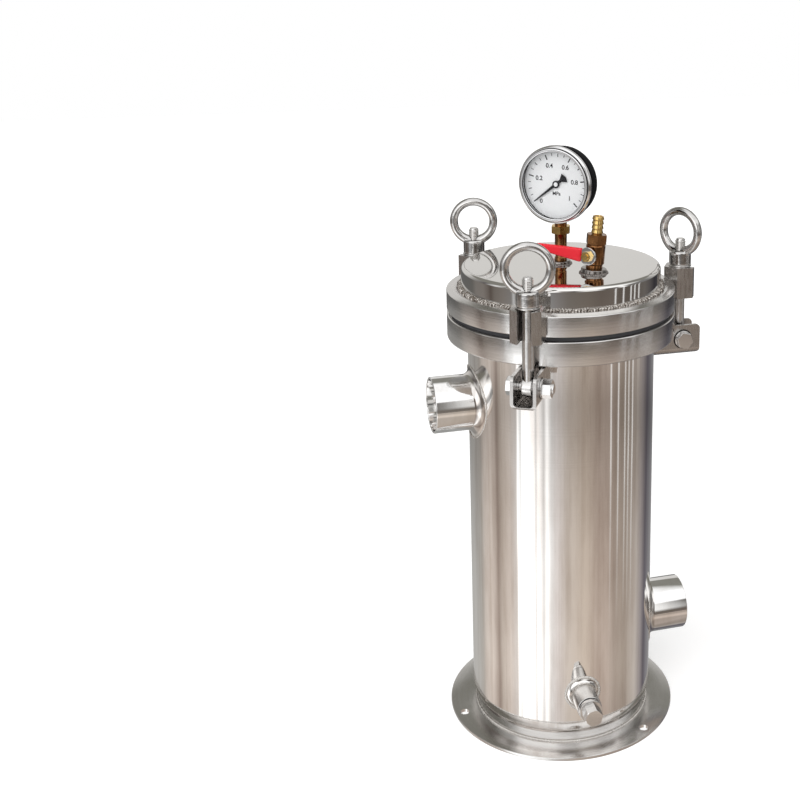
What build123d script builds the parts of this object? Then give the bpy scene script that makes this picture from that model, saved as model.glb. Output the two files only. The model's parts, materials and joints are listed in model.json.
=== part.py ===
from build123d import *
import os
from math import sin, cos, radians, sqrt, pi

os.makedirs("parts", exist_ok=True)

# ---------------------------------------------------------------- driving dimensions (mm, degrees)
# Azimuths run from -Y towards +X. The vessel stands on z = 0 with its axis on Z.

# vessel
shell_radius = 100.9
shell_wall = 2.5
base_thickness = 3.5
knuckle_radius = 25.0
shell_bottom_z = base_thickness + 0.5 + knuckle_radius
base_overhang = 26.1
base_radius = shell_radius + base_overhang
skirt_inset = 6.9
base_inner_radius = shell_radius - skirt_inset
skirt_wall = 3.0
foot_hole_count = 3
foot_hole_radius = 5.0
foot_hole_edge = 10.2
foot_hole_circle = base_radius - foot_hole_edge
foot_hole_azimuth = -85.5

# closure flanges
flange_overhang = 21.6
flange_radius = shell_radius + flange_overhang
flange_bottom_z = 438.3
flange_thickness = 25.7
flange_edge = 1.2
seal_thickness = 4.8
seal_inner_radius = shell_radius + 1.1
seal_outer_radius = flange_radius - 4.0
lid_flange_thickness = 22.6
lid_rim_radius = flange_radius - 8.0
lid_rim_drop = 1.4
cap_overhang = 5.8
cap_radius = shell_radius + cap_overhang
cap_height = 23.5
cap_wall = 4.0
cap_shoulder = 4.5

# pipe ports
port_outer_radius = 30.1
port_wall = 2.4
port_length = 43.1
port_reach = shell_radius + port_length
neck_length = 7.1
neck_reach = shell_radius + neck_length  # the pipe is butted on to its neck here
neck_step = 0.7  # the neck's wall is this much thicker inside
port_flare = 10.5
inlet_azimuth = -90.0
inlet_drop = 68.8
inlet_z = flange_bottom_z - inlet_drop
outlet_azimuth = 90.0
outlet_rise = 66.0
outlet_z = shell_bottom_z + outlet_rise

# drain
drain_azimuth = -3.5
drain_rise = 34.0
drain_z = shell_bottom_z + drain_rise
drain_outer_radius = 13.2
drain_length = 29.1
drain_reach = shell_radius + drain_length
drain_flare = 6.5
drain_thread_radius = 8.3
drain_seat_depth = 14.0
drain_washer_thickness = 1.6
drain_collar_radius = 12.4
drain_collar_thickness = 4.0
drain_hex = 17.0
drain_hex_length = 13.0

# swing bolt closures
bolt_count = 3
bolt_azimuth = -30.5
bolt_offset = 14.3
bolt_circle = flange_radius + bolt_offset
bolt_radius = 6.0
pin_drop = 16.3
bolt_pin_z = flange_bottom_z - pin_drop
bolt_eye_radius = 9.3
pin_radius = 5.0
pin_head_hex = 17.0
pin_head_height = 6.6
pin_washer_radius = 9.6
pin_washer_thickness = 1.6
pin_nut_height = 9.5
bracket_width = 26.6
bracket_plate = 3.4
bolt_eye_width = bracket_width - 2 * bracket_plate - 9.3
bracket_bottom_z = bolt_pin_z - 18.0
bracket_reach = bolt_circle + 20.2
bracket_corner = 7.5
lug_radius = 18.4
slot_half_width = 7.1
washer_radius = 12.6
washer_thickness = 1.8
eye_hub_radius = 12.0
eye_hub_height = 15.2
eye_ring_radius = 22.4
eye_ring_wire = 4.6
eye_ring_lift = 36.5
eye_azimuths = (-17.0, -57.0, -17.0)

# pressure gauge
gauge_azimuth = -41.0
gauge_case_radius = 38.2
gauge_back = -10.0
gauge_dial_depth = 11.0
gauge_front = 20.0
gauge_case_wall = 1.4
bezel_radius = gauge_case_radius + 2.8
bezel_opening = gauge_case_radius - 3.0
dial_thickness = 1.0
glass_thickness = 1.8
movement_size = 18.0
spindle_radius = 1.5
pointer_length = gauge_case_radius - 9.7
pointer_angle = 218.0
stem_radius = 6.6
stem_hex = 19.0
stem_hex_height = 8.0
gauge_boss_radius = 11.0
gauge_boss_height = 3.5

# vent valve
vent_azimuth = 22.0
vent_circle = 54.0
vent_lean = 4.5
vent_lean_azimuth = 73.0
vent_stem_azimuth = -47.0
vent_boss_radius = 13.6
vent_boss_height = 5.0
vent_body_radius = 10.0
vent_body_top = 31.0
vent_bore_radius = 4.0
vent_ball_radius = 6.6
vent_ball_z = 20.0
vent_stem_radius = 3.0
vent_gland_radius = 6.2
vent_gland_reach = 14.6
lever_thickness = 2.4
lever_root_radius = 9.2
lever_length = 60.0
grip_start = 8.5
grip_root_width = 14.5
grip_tip_width = 6.5
grip_thickness = 6.4
vent_hex = 19.5
vent_hex_top = 41.0
barb_radius = 6.3
barb_top = 60.0
barb_count = 4

# basket and bag
seat_drop = 43.5
seat_z = inlet_z - seat_drop
seat_thickness = 5.0
basket_clearance = 22.9
basket_radius = shell_radius - basket_clearance
seat_inner_radius = basket_radius + 3.0
basket_wall = 1.5
basket_lift = 29.0
basket_bottom_z = shell_bottom_z + basket_lift
basket_rim_radius = shell_radius - 5.4
basket_rim_thickness = 4.0
grip_wire = 2.5
grip_height = 38.0
grip_span = 44.0
grip_circle = basket_rim_radius - 3.5
bag_ring_radius = basket_radius + 10.0
bag_ring_thickness = 3.0
bag_radius = basket_radius - 3.5
bag_wall = 1.6
bag_gap = 3.0

# clearances
running = 0.05
rest = 0.02
weld_fit = 0.0
ball_clearance = 0.35

# ---------------------------------------------------------------- derived heights
lug_rise = 11.5
bolt_standout = 30.6
gauge_rise = 87.1
stem_hex_rise = 33.1

seal_z = flange_bottom_z + flange_thickness
lid_z = seal_z + seal_thickness
cap_z = lid_z + lid_flange_thickness
lid_top_z = cap_z + cap_height
lug_top_z = cap_z + lug_rise
bolt_end_z = lug_top_z + bolt_standout
gauge_z = lid_top_z + gauge_rise
stem_hex_z = lid_top_z + stem_hex_rise
core = 0.6 * shell_radius  # parts fixed to the shell are drawn from here and cut back to it
shell_inner = shell_radius - shell_wall
washer_z = lug_top_z + rest
hub_z = washer_z + washer_thickness + rest
ring_z = hub_z + eye_ring_lift
swing_length = lug_top_z - bolt_pin_z
seat_top_z = seat_z + seat_thickness
rim_z = seat_top_z + rest
bag_ring_z = rim_z + basket_rim_thickness + rest

LOW = (Align.CENTER, Align.CENTER, Align.MIN)


# ---------------------------------------------------------------- helpers
def rod(radius, low, high):
    """Solid cylinder on Z between two heights."""
    return Pos(0, 0, low) * Cylinder(radius, high - low, align=LOW)


def ring(outer, inner, low, high):
    """Flat ring on Z between two heights."""
    return rod(outer, low, high) - rod(inner, low - 1, high + 1)


def turned(points):
    """Solid of revolution about Z from (radius, height) points."""
    outline = make_face(Polyline(*[(r, 0, z) for r, z in points], close=True))
    return revolve(outline, axis=Axis.Z, revolution_arc=360)


def prism(outline, height):
    """Extrude a flat outline upwards."""
    return extrude(outline, height, dir=(0, 0, 1))


def hexagon(flats, low, high):
    """Hexagonal prism on Z."""
    return Pos(0, 0, low) * prism(RegularPolygon(flats / sqrt(3), 6), high - low)


def outward(azimuth, radius, height):
    """Frame with x along the tangent, y up and z radially outward."""
    a = radians(azimuth)
    return Plane(origin=(radius * sin(a), -radius * cos(a), height),
                 x_dir=(cos(a), sin(a), 0), z_dir=(sin(a), -cos(a), 0))


def around_y(shape):
    """Turn a shape made on Z so that it runs along +Y."""
    return Rot(-90, 0, 0) * shape


def around_x(shape):
    """Turn a shape made on Z so that it runs along +X."""
    return Rot(0, 90, 0) * shape


def save(name, shape):
    export_step(shape, "parts/" + name + ".step")


bolt_azimuths = [bolt_azimuth + 360.0 / bolt_count * i for i in range(bolt_count)]
inlet_frame = outward(inlet_azimuth, 0, inlet_z)
outlet_frame = outward(outlet_azimuth, 0, outlet_z)
drain_frame = outward(drain_azimuth, 0, drain_z)

# ---------------------------------------------------------------- vessel
foot_holes = [outward(foot_hole_azimuth + 360.0 / foot_hole_count * i, foot_hole_circle, 0).origin
              for i in range(foot_hole_count)]
base = ring(base_radius, base_inner_radius, 0, base_thickness)
for spot in foot_holes:
    base -= Pos(spot.X, spot.Y, -1) * Cylinder(foot_hole_radius, base_thickness + 2, align=LOW)
base = chamfer(base.edges().filter_by(GeomType.CIRCLE).filter_by(
    lambda e: abs(e.radius - base_radius) < 0.1), 0.5)
save("base_ring", base)

knuckle_centre = shell_radius - knuckle_radius
skirt_outer = base_inner_radius + skirt_wall
skirt_top = shell_bottom_z - sqrt(knuckle_radius ** 2 - (skirt_outer - knuckle_centre) ** 2)


def dished(radius, wall_radius):
    """Solid dish: flat floor, knuckle, short straight edge."""
    floor_z = shell_bottom_z - wall_radius
    with BuildPart() as dish:
        with BuildSketch(Plane.XZ):
            with BuildLine():
                Line((0, floor_z), (knuckle_centre, floor_z))
                RadiusArc((knuckle_centre, floor_z), (radius, shell_bottom_z), -wall_radius)
                Line((radius, shell_bottom_z), (0, shell_bottom_z))
                Line((0, shell_bottom_z), (0, floor_z))
            make_face()
        revolve(axis=Axis.Z, revolution_arc=360)
    return dish.part


head_outer = dished(shell_radius, knuckle_radius)
head = head_outer - dished(shell_inner, knuckle_radius - shell_wall)
save("bottom_head", head)
skirt = ring(skirt_outer, base_inner_radius, base_thickness, skirt_top + 6) - head_outer
skirt -= rod(shell_radius + 5, shell_bottom_z, shell_bottom_z + 20)
save("skirt_ring", skirt)

shell = ring(shell_radius, shell_inner, shell_bottom_z, flange_bottom_z + flange_thickness - 2)
for frame, radius in ((inlet_frame, port_outer_radius), (outlet_frame, port_outer_radius),
                      (drain_frame, drain_outer_radius)):
    shell -= frame.location * rod(radius, 50, 150)
save("shell", shell)


def pipe_neck(frame, outer, inner, reach):
    """Short neck that starts flush with the inside of the shell."""
    return frame.location * ring(outer, inner, core, reach) - rod(shell_inner, -10, 600)


def stub_collar(frame, outer, flare, rise):
    """Flared collar between the shell and a stub."""
    top = shell_radius + rise
    cone = turned([(outer, core), (outer, top), (outer + 0.6, top), (outer + flare, top - flare - rise),
                   (outer + flare, core)])
    return frame.location * cone - rod(shell_radius, -10, 600)


port_bore_radius = port_outer_radius - port_wall
save("inlet_neck", pipe_neck(inlet_frame, port_outer_radius, port_bore_radius - neck_step, neck_reach))
save("inlet_pipe", inlet_frame.location * ring(port_outer_radius, port_bore_radius, neck_reach, port_reach))
save("inlet_collar", stub_collar(inlet_frame, port_outer_radius, port_flare, 2.5))
save("outlet_neck", pipe_neck(outlet_frame, port_outer_radius, port_bore_radius - neck_step, neck_reach))
save("outlet_pipe", outlet_frame.location * ring(port_outer_radius, port_bore_radius, neck_reach, port_reach))
save("outlet_collar", stub_collar(outlet_frame, port_outer_radius, port_flare, 2.5))

drain_bore = ring(drain_outer_radius, drain_thread_radius + running, core, drain_reach)
save("drain_socket", drain_frame.location * drain_bore - rod(shell_inner, -10, 600))
save("drain_collar", stub_collar(drain_frame, drain_outer_radius, drain_flare, 2.0))

flange = turned([(shell_radius, flange_bottom_z), (flange_radius - flange_edge, flange_bottom_z),
                 (flange_radius, flange_bottom_z + flange_edge), (flange_radius, seal_z - flange_edge),
                 (flange_radius - flange_edge, seal_z), (shell_inner, seal_z),
                 (shell_inner, seal_z - 2), (shell_radius, seal_z - 2)])
save("body_flange", flange)
save("seal_ring", ring(seal_outer_radius, seal_inner_radius, seal_z, lid_z - rest))
save("basket_seat", ring(shell_inner, seat_inner_radius, seat_z, seat_top_z))

# ---------------------------------------------------------------- clevis brackets and their pins
pin_holes = around_x(rod(pin_radius + 0.1, -2 * bracket_width, 2 * bracket_width))
half = bracket_width / 2
for number, azimuth in enumerate(bolt_azimuths, 1):
    foot = outward(azimuth, 0, 0)
    outer_u = Rectangle(bracket_width, flange_bottom_z - bracket_bottom_z,
                        align=(Align.CENTER, Align.MIN))
    outer_u = fillet(outer_u.vertices().group_by(Axis.Y)[0], bracket_corner)
    inner_u = Pos(0, bracket_plate) * Rectangle(bracket_width - 2 * bracket_plate, 3 * bracket_width,
                                                align=(Align.CENTER, Align.MIN))
    inner_u = fillet(inner_u.vertices().group_by(Axis.Y)[0], bracket_corner - bracket_plate)
    channel = Pos(0, bracket_bottom_z, core) * extrude(outer_u - inner_u, bracket_reach - core)
    side = Plane.YZ * Pos(bracket_bottom_z, core) * Rectangle(
        flange_bottom_z - bracket_bottom_z - 0.6, bracket_reach - core, align=(Align.MIN, Align.MIN))
    side = extrude(fillet(side.vertices().group_by(Axis.Z)[-1], 5.0), bracket_width, both=True)
    bracket = foot.location * (channel & side) - rod(shell_radius, -10, 600)
    bracket -= outward(azimuth, bolt_circle, bolt_pin_z).location * pin_holes
    save("clevis_bracket_%d" % number, bracket)

pins, nuts = [], []
for azimuth in bolt_azimuths:
    place = outward(azimuth, bolt_circle, bolt_pin_z).location
    head_side = -half - pin_washer_thickness
    pin = rod(pin_radius, -half - pin_washer_thickness, half + pin_washer_thickness + pin_nut_height + 2)
    pin += Rot(0, 0, 12) * hexagon(pin_head_hex, head_side - pin_head_height, head_side)
    nut = ring(pin_washer_radius, pin_radius, half, half + pin_washer_thickness)
    nut += ring(pin_washer_radius, pin_radius, head_side, -half)
    low = half + pin_washer_thickness
    nut += Rot(0, 0, 20) * (hexagon(pin_head_hex, low, low + pin_nut_height)
                           - rod(pin_radius, low - 1, low + 20))
    pins.append(place * around_x(pin))
    nuts.append(place * around_x(nut))
save("pin_bolts", Compound(children=pins))
save("pin_nuts", Compound(children=nuts))

# ---------------------------------------------------------------- swing bolts, washers and eye nuts
for number, azimuth in enumerate(bolt_azimuths, 1):
    place = outward(azimuth, bolt_circle, 0)
    stem = rod(bolt_radius, 0, bolt_end_z - bolt_pin_z)
    stem = chamfer(stem.faces().sort_by(Axis.Z)[-1].edges(), 1.2)
    eye = around_x(rod(bolt_eye_radius, -bolt_eye_width / 2, bolt_eye_width / 2))
    swing = around_y(stem) + eye - around_x(rod(pin_radius + running, -20, 20))
    save("swing_bolt_%d" % number, place.location * Pos(0, bolt_pin_z, 0) * swing)

    axis_x, axis_y = place.origin.X, place.origin.Y
    washer = ring(washer_radius, bolt_radius + running, washer_z, washer_z + washer_thickness)
    save("washer_%d" % number, Pos(axis_x, axis_y, 0) * washer)

    hub = turned([(0, 0), (eye_hub_radius - 0.6, 0), (eye_hub_radius, 0.6),
                  (eye_hub_radius, eye_hub_height - 1.2), (eye_hub_radius - 2.2, eye_hub_height + 1.6),
                  (0, eye_hub_height + 1.6)])
    loop = Pos(0, 0, eye_ring_lift) * (Rot(90, 0, 0) * Torus(eye_ring_radius, eye_ring_wire))
    nut = hub + loop - rod(bolt_radius + running, -5, bolt_end_z - hub_z + 3)
    save("eye_nut_%d" % number, Pos(axis_x, axis_y, hub_z) * (Rot(0, 0, eye_azimuths[number - 1]) * nut))

# ---------------------------------------------------------------- lid
lid_ring = turned([(shell_inner, lid_z), (flange_radius - flange_edge, lid_z),
                   (flange_radius, lid_z + flange_edge), (flange_radius, cap_z - lid_rim_drop),
                   (lid_rim_radius, cap_z), (shell_inner, cap_z)])
save("lid_flange", lid_ring)

vent_origin = outward(vent_azimuth, vent_circle, lid_top_z).origin
lean = radians(vent_lean)
lean_way = outward(vent_lean_azimuth, 1, 0).origin
vent_up = Vector(lean_way.X * sin(lean), lean_way.Y * sin(lean), cos(lean))
stem_way = outward(vent_stem_azimuth, 1, 0).origin
vent_x = Vector(-stem_way.X, -stem_way.Y, 0).cross(vent_up).normalized()
vent_frame = Plane(origin=vent_origin, x_dir=vent_x, z_dir=vent_up)

cap = turned([(cap_radius - cap_wall, cap_z), (cap_radius, cap_z),
              (cap_radius, lid_top_z), (0, lid_top_z), (0, lid_top_z - cap_wall),
              (cap_radius - cap_wall, lid_top_z - cap_wall)])
cap = fillet(cap.edges().filter_by(GeomType.CIRCLE).filter_by(
    lambda e: abs(e.radius - cap_radius) < 0.1).sort_by(Axis.Z)[-1:], cap_shoulder)
cap -= rod(stem_radius, lid_top_z - 20, lid_top_z + 5)
cap -= vent_frame.location * rod(vent_bore_radius, -20, 5)
save("lid_cap", cap)

pin_arc_radius = swing_length - running
for number, azimuth in enumerate(bolt_azimuths, 1):
    place = outward(azimuth, bolt_circle, 0)
    height = lug_top_z - lid_z
    block = extrude(RegularPolygon(lug_radius, 6, rotation=30), height)
    block = Pos(0, lid_z, 0) * around_y(block)
    slot = around_y(rod(slot_half_width, lid_z - 1, lug_top_z + 1))
    slot += Pos(0, lid_z - 1, 0) * Box(2 * slot_half_width, height + 2, 40,
                                      align=(Align.CENTER, Align.MIN, Align.MIN))
    outer_half = Pos(0, bolt_pin_z, 0) * Box(60, 200, 40, align=(Align.CENTER, Align.MIN, Align.MIN))
    beyond = outer_half - Pos(0, bolt_pin_z, 0) * around_x(rod(pin_arc_radius, -40, 40))
    lug = place.location * (block - slot - beyond)
    lug -= rod(flange_radius, lid_z - 1, cap_z)
    save("lid_lug_%d" % number, lug)

# ---------------------------------------------------------------- pressure gauge
face = outward(gauge_azimuth, 0, gauge_z)
movement_front = gauge_dial_depth - dial_thickness
stem_top = gauge_z - movement_size / 2
save("gauge_boss", ring(gauge_boss_radius, stem_radius, lid_top_z, lid_top_z + gauge_boss_height))
stem = rod(stem_radius, lid_top_z - cap_wall - 3, stem_hex_z)
stem += hexagon(stem_hex, stem_hex_z, stem_hex_z + stem_hex_height)
stem += rod(stem_radius, stem_hex_z + stem_hex_height, stem_top)
stem -= rod(2.0, lid_top_z - 20, stem_hex_z)
save("gauge_stem", stem)

case = turned([(0, gauge_back), (gauge_case_radius - 2.0, gauge_back), (gauge_case_radius, gauge_back + 2.0),
               (gauge_case_radius, gauge_front - 7.0), (gauge_case_radius - gauge_case_wall, gauge_front - 7.0),
               (gauge_case_radius - gauge_case_wall, gauge_back + gauge_case_wall),
               (0, gauge_back + gauge_case_wall)])
save("gauge_case", face.location * case - rod(stem_radius, 500, gauge_z - 20))

bezel_back = gauge_front - 11.0
bezel = turned([(gauge_case_radius, bezel_back), (bezel_radius - 0.8, bezel_back),
                (bezel_radius, bezel_back + 1.0), (bezel_radius, gauge_front - 4.0),
                (bezel_radius - 1.2, gauge_front - 2.2), (bezel_radius - 2.4, gauge_front - 1.8),
                (bezel_radius - 3.0, gauge_front), (bezel_opening + 0.8, gauge_front),
                (bezel_opening, gauge_front - 1.0), (bezel_opening, gauge_front - 2.0),
                (gauge_case_radius - gauge_case_wall, gauge_front - 2.0),
                (gauge_case_radius - gauge_case_wall, gauge_front - 7.0), (gauge_case_radius, gauge_front - 7.0)])
save("gauge_bezel", face.location * bezel)
glass_front = gauge_front - 2.0
lining = gauge_case_radius - gauge_case_wall
save("gauge_glass", face.location * rod(lining, glass_front - glass_thickness, glass_front))
save("gauge_dial", face.location * ring(lining, spindle_radius + running, movement_front,
                                        movement_front + dial_thickness))
movement = Pos(0, 0, gauge_back + gauge_case_wall) * Box(
    movement_size, movement_size, movement_front - gauge_back - gauge_case_wall, align=LOW)
movement -= rod(spindle_radius + running, 0, movement_front + 1)
save("gauge_movement", face.location * movement)

pointer_z = gauge_dial_depth + 1.2
save("gauge_spindle", face.location * rod(spindle_radius, 1.0, pointer_z))
needle = Polygon((0, 1.1), (pointer_length, 0.35), (pointer_length, -0.35), (0, -1.1), align=None)
tail = Polygon((0, 1.3), (-7.5, 1.1), (-12.5, 4.4), (-14.0, 0), (-12.5, -4.4), (-7.5, -1.1), (0, -1.3), align=None)
pointer = prism(needle, 0.8) + prism(tail, 0.8) + rod(3.6, 0, 0.8) + rod(2.6, 0, 1.7)
save("gauge_pointer", face.location * Pos(0, 0, pointer_z) * Rot(0, 0, pointer_angle) * pointer)

# ---------------------------------------------------------------- vent valve
boss = ring(vent_boss_radius, vent_bore_radius, -3, vent_boss_height)
save("vent_boss", vent_frame.location * boss - rod(cap_radius, lid_top_z - 20, lid_top_z))

body = ring(vent_body_radius, vent_bore_radius, vent_boss_height, vent_body_top)
gland = Pos(0, 0, vent_ball_z) * Rot(90, 0, 0) * rod(vent_gland_radius, 6, vent_gland_reach)
body += gland - rod(vent_bore_radius, 0, 60)
body -= Pos(0, 0, vent_ball_z) * Sphere(vent_ball_radius + ball_clearance)
body -= Pos(0, 0, vent_ball_z) * Rot(90, 0, 0) * rod(vent_stem_radius + running, 0, 40)
save("vent_body", vent_frame.location * body)

plate_near = vent_gland_reach + 0.3
plate_far = plate_near + lever_thickness
stem_end = plate_far + 5.0
across = Rot(90, 0, 0)
ball = Sphere(vent_ball_radius) - around_x(rod(vent_bore_radius - 0.6, -20, 20))
ball -= across * rod(vent_stem_radius, 4.6, 20)
to_ball = vent_frame.location * Pos(0, 0, vent_ball_z)
save("vent_ball", to_ball * ball)
save("vent_stem", to_ball * across * rod(vent_stem_radius, 4.6, stem_end))

arm = Circle(lever_root_radius) + Polygon(
    (0, lever_root_radius * 0.7), (-lever_length + 2, 2.0), (-lever_length, 1.0), (-lever_length, -1.0),
    (-lever_length + 2, -2.0), (0, -lever_root_radius * 0.7), align=None)
arm -= Circle(vent_stem_radius)
plate = across * (Pos(0, 0, plate_near) * prism(arm, lever_thickness))
save("lever_plate", to_ball * plate)

tip = lever_length + 1.6
grip_outline = Polygon((-grip_start, grip_root_width / 2), (-tip + 2, grip_tip_width / 2),
                       (-tip, grip_tip_width / 2 - 2), (-tip, -grip_tip_width / 2 + 2),
                       (-tip + 2, -grip_tip_width / 2), (-grip_start, -grip_root_width / 2), align=None)
grip = prism(grip_outline, grip_thickness)
grip = across * (Pos(0, 0, plate_near + lever_thickness / 2 - grip_thickness / 2) * grip)
grip -= plate
grip -= across * rod(lever_root_radius + 0.3, plate_near - 5, plate_near)
save("lever_grip", to_ball * grip)

nut = hexagon(10.0, plate_far, plate_far + 3.6) - rod(vent_stem_radius, plate_far - 1, plate_far + 10)
save("lever_nut", to_ball * across * nut)

tail_nut = hexagon(vent_hex, vent_body_top, vent_hex_top)
pitch = (barb_top - vent_hex_top) / barb_count
profile = [(0, vent_hex_top), (barb_radius - 0.9, vent_hex_top)]
for step in range(barb_count):
    low = vent_hex_top + step * pitch
    profile += [(barb_radius - 0.9, low + 0.25 * pitch), (barb_radius, low + 0.3 * pitch),
                (barb_radius - 0.9, low + pitch)]
profile += [(0, barb_top)]
hose_tail = tail_nut + turned(profile) - rod(vent_bore_radius, 0, barb_top + 5)
save("vent_hose_tail", vent_frame.location * hose_tail)

# ---------------------------------------------------------------- drain plug
mouth = drain_reach + rest
collar_at = mouth + drain_washer_thickness + rest
save("drain_washer", drain_frame.location * ring(drain_collar_radius, drain_thread_radius + running,
                                                 mouth, mouth + drain_washer_thickness))
plug = rod(drain_thread_radius, drain_reach - drain_seat_depth, collar_at)
plug += rod(drain_collar_radius, collar_at, collar_at + drain_collar_thickness)
hex_low = collar_at + drain_collar_thickness
plug += Rot(0, 0, 15) * hexagon(drain_hex, hex_low, hex_low + drain_hex_length)
save("drain_plug", drain_frame.location * plug)

# ---------------------------------------------------------------- basket and bag
save("basket_rim", ring(basket_rim_radius, basket_radius - basket_wall, rim_z, rim_z + basket_rim_thickness))
save("basket_wall", ring(basket_radius, basket_radius - basket_wall, basket_bottom_z, rim_z))
save("basket_base", rod(basket_radius - basket_wall, basket_bottom_z, basket_bottom_z + basket_wall))
grips = []
for azimuth in (0, 180):
    spot = outward(azimuth, grip_circle, rim_z + basket_rim_thickness)
    line = FilletPolyline((-grip_span / 2, 0), (-grip_span / 2, grip_height),
                          (grip_span / 2, grip_height), (grip_span / 2, 0), radius=9)
    wire = sweep(Plane(origin=line @ 0, z_dir=line % 0) * Circle(grip_wire), path=line)
    grips.append(spot.location * wire)
save("basket_grips", Compound(children=grips))

save("bag_ring", ring(bag_ring_radius, bag_radius - bag_wall, bag_ring_z, bag_ring_z + bag_ring_thickness))
sock_low = basket_bottom_z + basket_wall + bag_gap
sock = rod(bag_radius, sock_low, bag_ring_z) - rod(bag_radius - bag_wall, sock_low + bag_wall, bag_ring_z + 1)
save("bag_sock", sock)
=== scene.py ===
import bmesh
import bpy
import json
import math
from bpy.props import FloatProperty, FloatVectorProperty, IntProperty, PointerProperty
from mathutils import Matrix, Vector, noise
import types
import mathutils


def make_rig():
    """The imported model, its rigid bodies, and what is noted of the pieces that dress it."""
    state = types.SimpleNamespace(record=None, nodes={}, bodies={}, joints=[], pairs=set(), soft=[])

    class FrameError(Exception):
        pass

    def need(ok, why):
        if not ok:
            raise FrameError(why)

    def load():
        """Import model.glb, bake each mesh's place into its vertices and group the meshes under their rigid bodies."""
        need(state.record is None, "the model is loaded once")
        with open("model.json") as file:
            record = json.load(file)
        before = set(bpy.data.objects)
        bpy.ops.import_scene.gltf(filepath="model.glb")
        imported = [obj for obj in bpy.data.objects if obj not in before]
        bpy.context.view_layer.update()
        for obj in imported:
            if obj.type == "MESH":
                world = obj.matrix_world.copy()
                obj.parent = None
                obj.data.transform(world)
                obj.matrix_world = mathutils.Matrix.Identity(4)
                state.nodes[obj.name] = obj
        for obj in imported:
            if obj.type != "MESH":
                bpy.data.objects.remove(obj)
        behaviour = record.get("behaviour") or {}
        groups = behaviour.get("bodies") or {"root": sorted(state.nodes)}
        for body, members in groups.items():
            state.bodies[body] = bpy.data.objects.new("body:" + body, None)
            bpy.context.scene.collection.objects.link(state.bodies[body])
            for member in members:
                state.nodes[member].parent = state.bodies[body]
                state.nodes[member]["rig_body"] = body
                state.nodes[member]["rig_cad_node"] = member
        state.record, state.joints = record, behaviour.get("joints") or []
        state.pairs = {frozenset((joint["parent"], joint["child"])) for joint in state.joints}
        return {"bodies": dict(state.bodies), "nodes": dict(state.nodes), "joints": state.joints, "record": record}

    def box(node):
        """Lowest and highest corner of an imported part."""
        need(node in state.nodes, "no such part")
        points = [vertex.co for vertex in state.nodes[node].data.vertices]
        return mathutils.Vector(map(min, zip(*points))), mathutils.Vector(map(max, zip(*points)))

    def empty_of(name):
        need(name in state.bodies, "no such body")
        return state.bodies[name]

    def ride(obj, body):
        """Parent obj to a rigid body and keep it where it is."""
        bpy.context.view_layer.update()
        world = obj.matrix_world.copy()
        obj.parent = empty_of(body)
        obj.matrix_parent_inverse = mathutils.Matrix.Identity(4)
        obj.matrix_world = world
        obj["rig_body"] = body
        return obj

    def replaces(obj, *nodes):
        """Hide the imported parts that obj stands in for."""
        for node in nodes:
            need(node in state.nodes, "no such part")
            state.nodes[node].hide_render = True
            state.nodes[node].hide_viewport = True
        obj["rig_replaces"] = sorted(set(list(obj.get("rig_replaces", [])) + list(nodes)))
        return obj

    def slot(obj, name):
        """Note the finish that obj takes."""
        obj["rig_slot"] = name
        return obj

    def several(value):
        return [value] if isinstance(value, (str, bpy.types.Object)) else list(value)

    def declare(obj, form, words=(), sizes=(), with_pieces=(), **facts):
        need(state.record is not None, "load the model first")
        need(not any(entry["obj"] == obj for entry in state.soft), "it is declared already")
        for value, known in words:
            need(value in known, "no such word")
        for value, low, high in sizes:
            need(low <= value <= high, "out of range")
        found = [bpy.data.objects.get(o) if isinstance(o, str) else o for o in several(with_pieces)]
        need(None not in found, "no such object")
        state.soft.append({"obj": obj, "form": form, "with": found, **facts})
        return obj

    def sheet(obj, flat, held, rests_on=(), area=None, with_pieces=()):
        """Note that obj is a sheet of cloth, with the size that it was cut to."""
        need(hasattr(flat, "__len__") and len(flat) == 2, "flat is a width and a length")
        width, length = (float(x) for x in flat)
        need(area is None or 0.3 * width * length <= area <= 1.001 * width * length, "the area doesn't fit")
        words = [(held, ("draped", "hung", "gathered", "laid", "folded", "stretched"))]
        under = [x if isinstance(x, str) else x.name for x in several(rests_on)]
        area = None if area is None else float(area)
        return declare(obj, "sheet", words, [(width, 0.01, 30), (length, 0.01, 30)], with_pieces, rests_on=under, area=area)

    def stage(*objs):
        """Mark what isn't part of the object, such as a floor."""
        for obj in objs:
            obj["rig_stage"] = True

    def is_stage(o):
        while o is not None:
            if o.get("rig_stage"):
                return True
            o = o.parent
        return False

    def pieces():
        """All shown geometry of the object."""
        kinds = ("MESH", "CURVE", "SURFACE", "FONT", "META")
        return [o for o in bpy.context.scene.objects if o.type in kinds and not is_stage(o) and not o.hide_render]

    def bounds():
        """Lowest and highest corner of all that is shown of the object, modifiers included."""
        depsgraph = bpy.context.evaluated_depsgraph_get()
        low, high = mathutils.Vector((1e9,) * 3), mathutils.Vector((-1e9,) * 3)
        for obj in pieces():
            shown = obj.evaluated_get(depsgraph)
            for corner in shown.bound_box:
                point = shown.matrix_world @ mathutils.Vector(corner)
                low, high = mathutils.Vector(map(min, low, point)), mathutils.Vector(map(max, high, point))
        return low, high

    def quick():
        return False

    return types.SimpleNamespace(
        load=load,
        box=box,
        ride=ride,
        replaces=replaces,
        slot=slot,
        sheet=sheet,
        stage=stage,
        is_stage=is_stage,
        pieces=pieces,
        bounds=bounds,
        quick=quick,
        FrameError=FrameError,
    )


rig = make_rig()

bl_info = {
    "name": "Bag filter housing",
    "version": (1, 0, 0),
    "blender": (4, 5, 0),
    "location": "View3D > Sidebar > Filter",
    "description": "Builds the finished surfaces of an upright bag filter housing around its solids",
    "category": "Object",
}

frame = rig.load()
CAD_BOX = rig.bounds()
MM = 0.001
JOINED = 1e-7           # vertices closer than this are one

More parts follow.
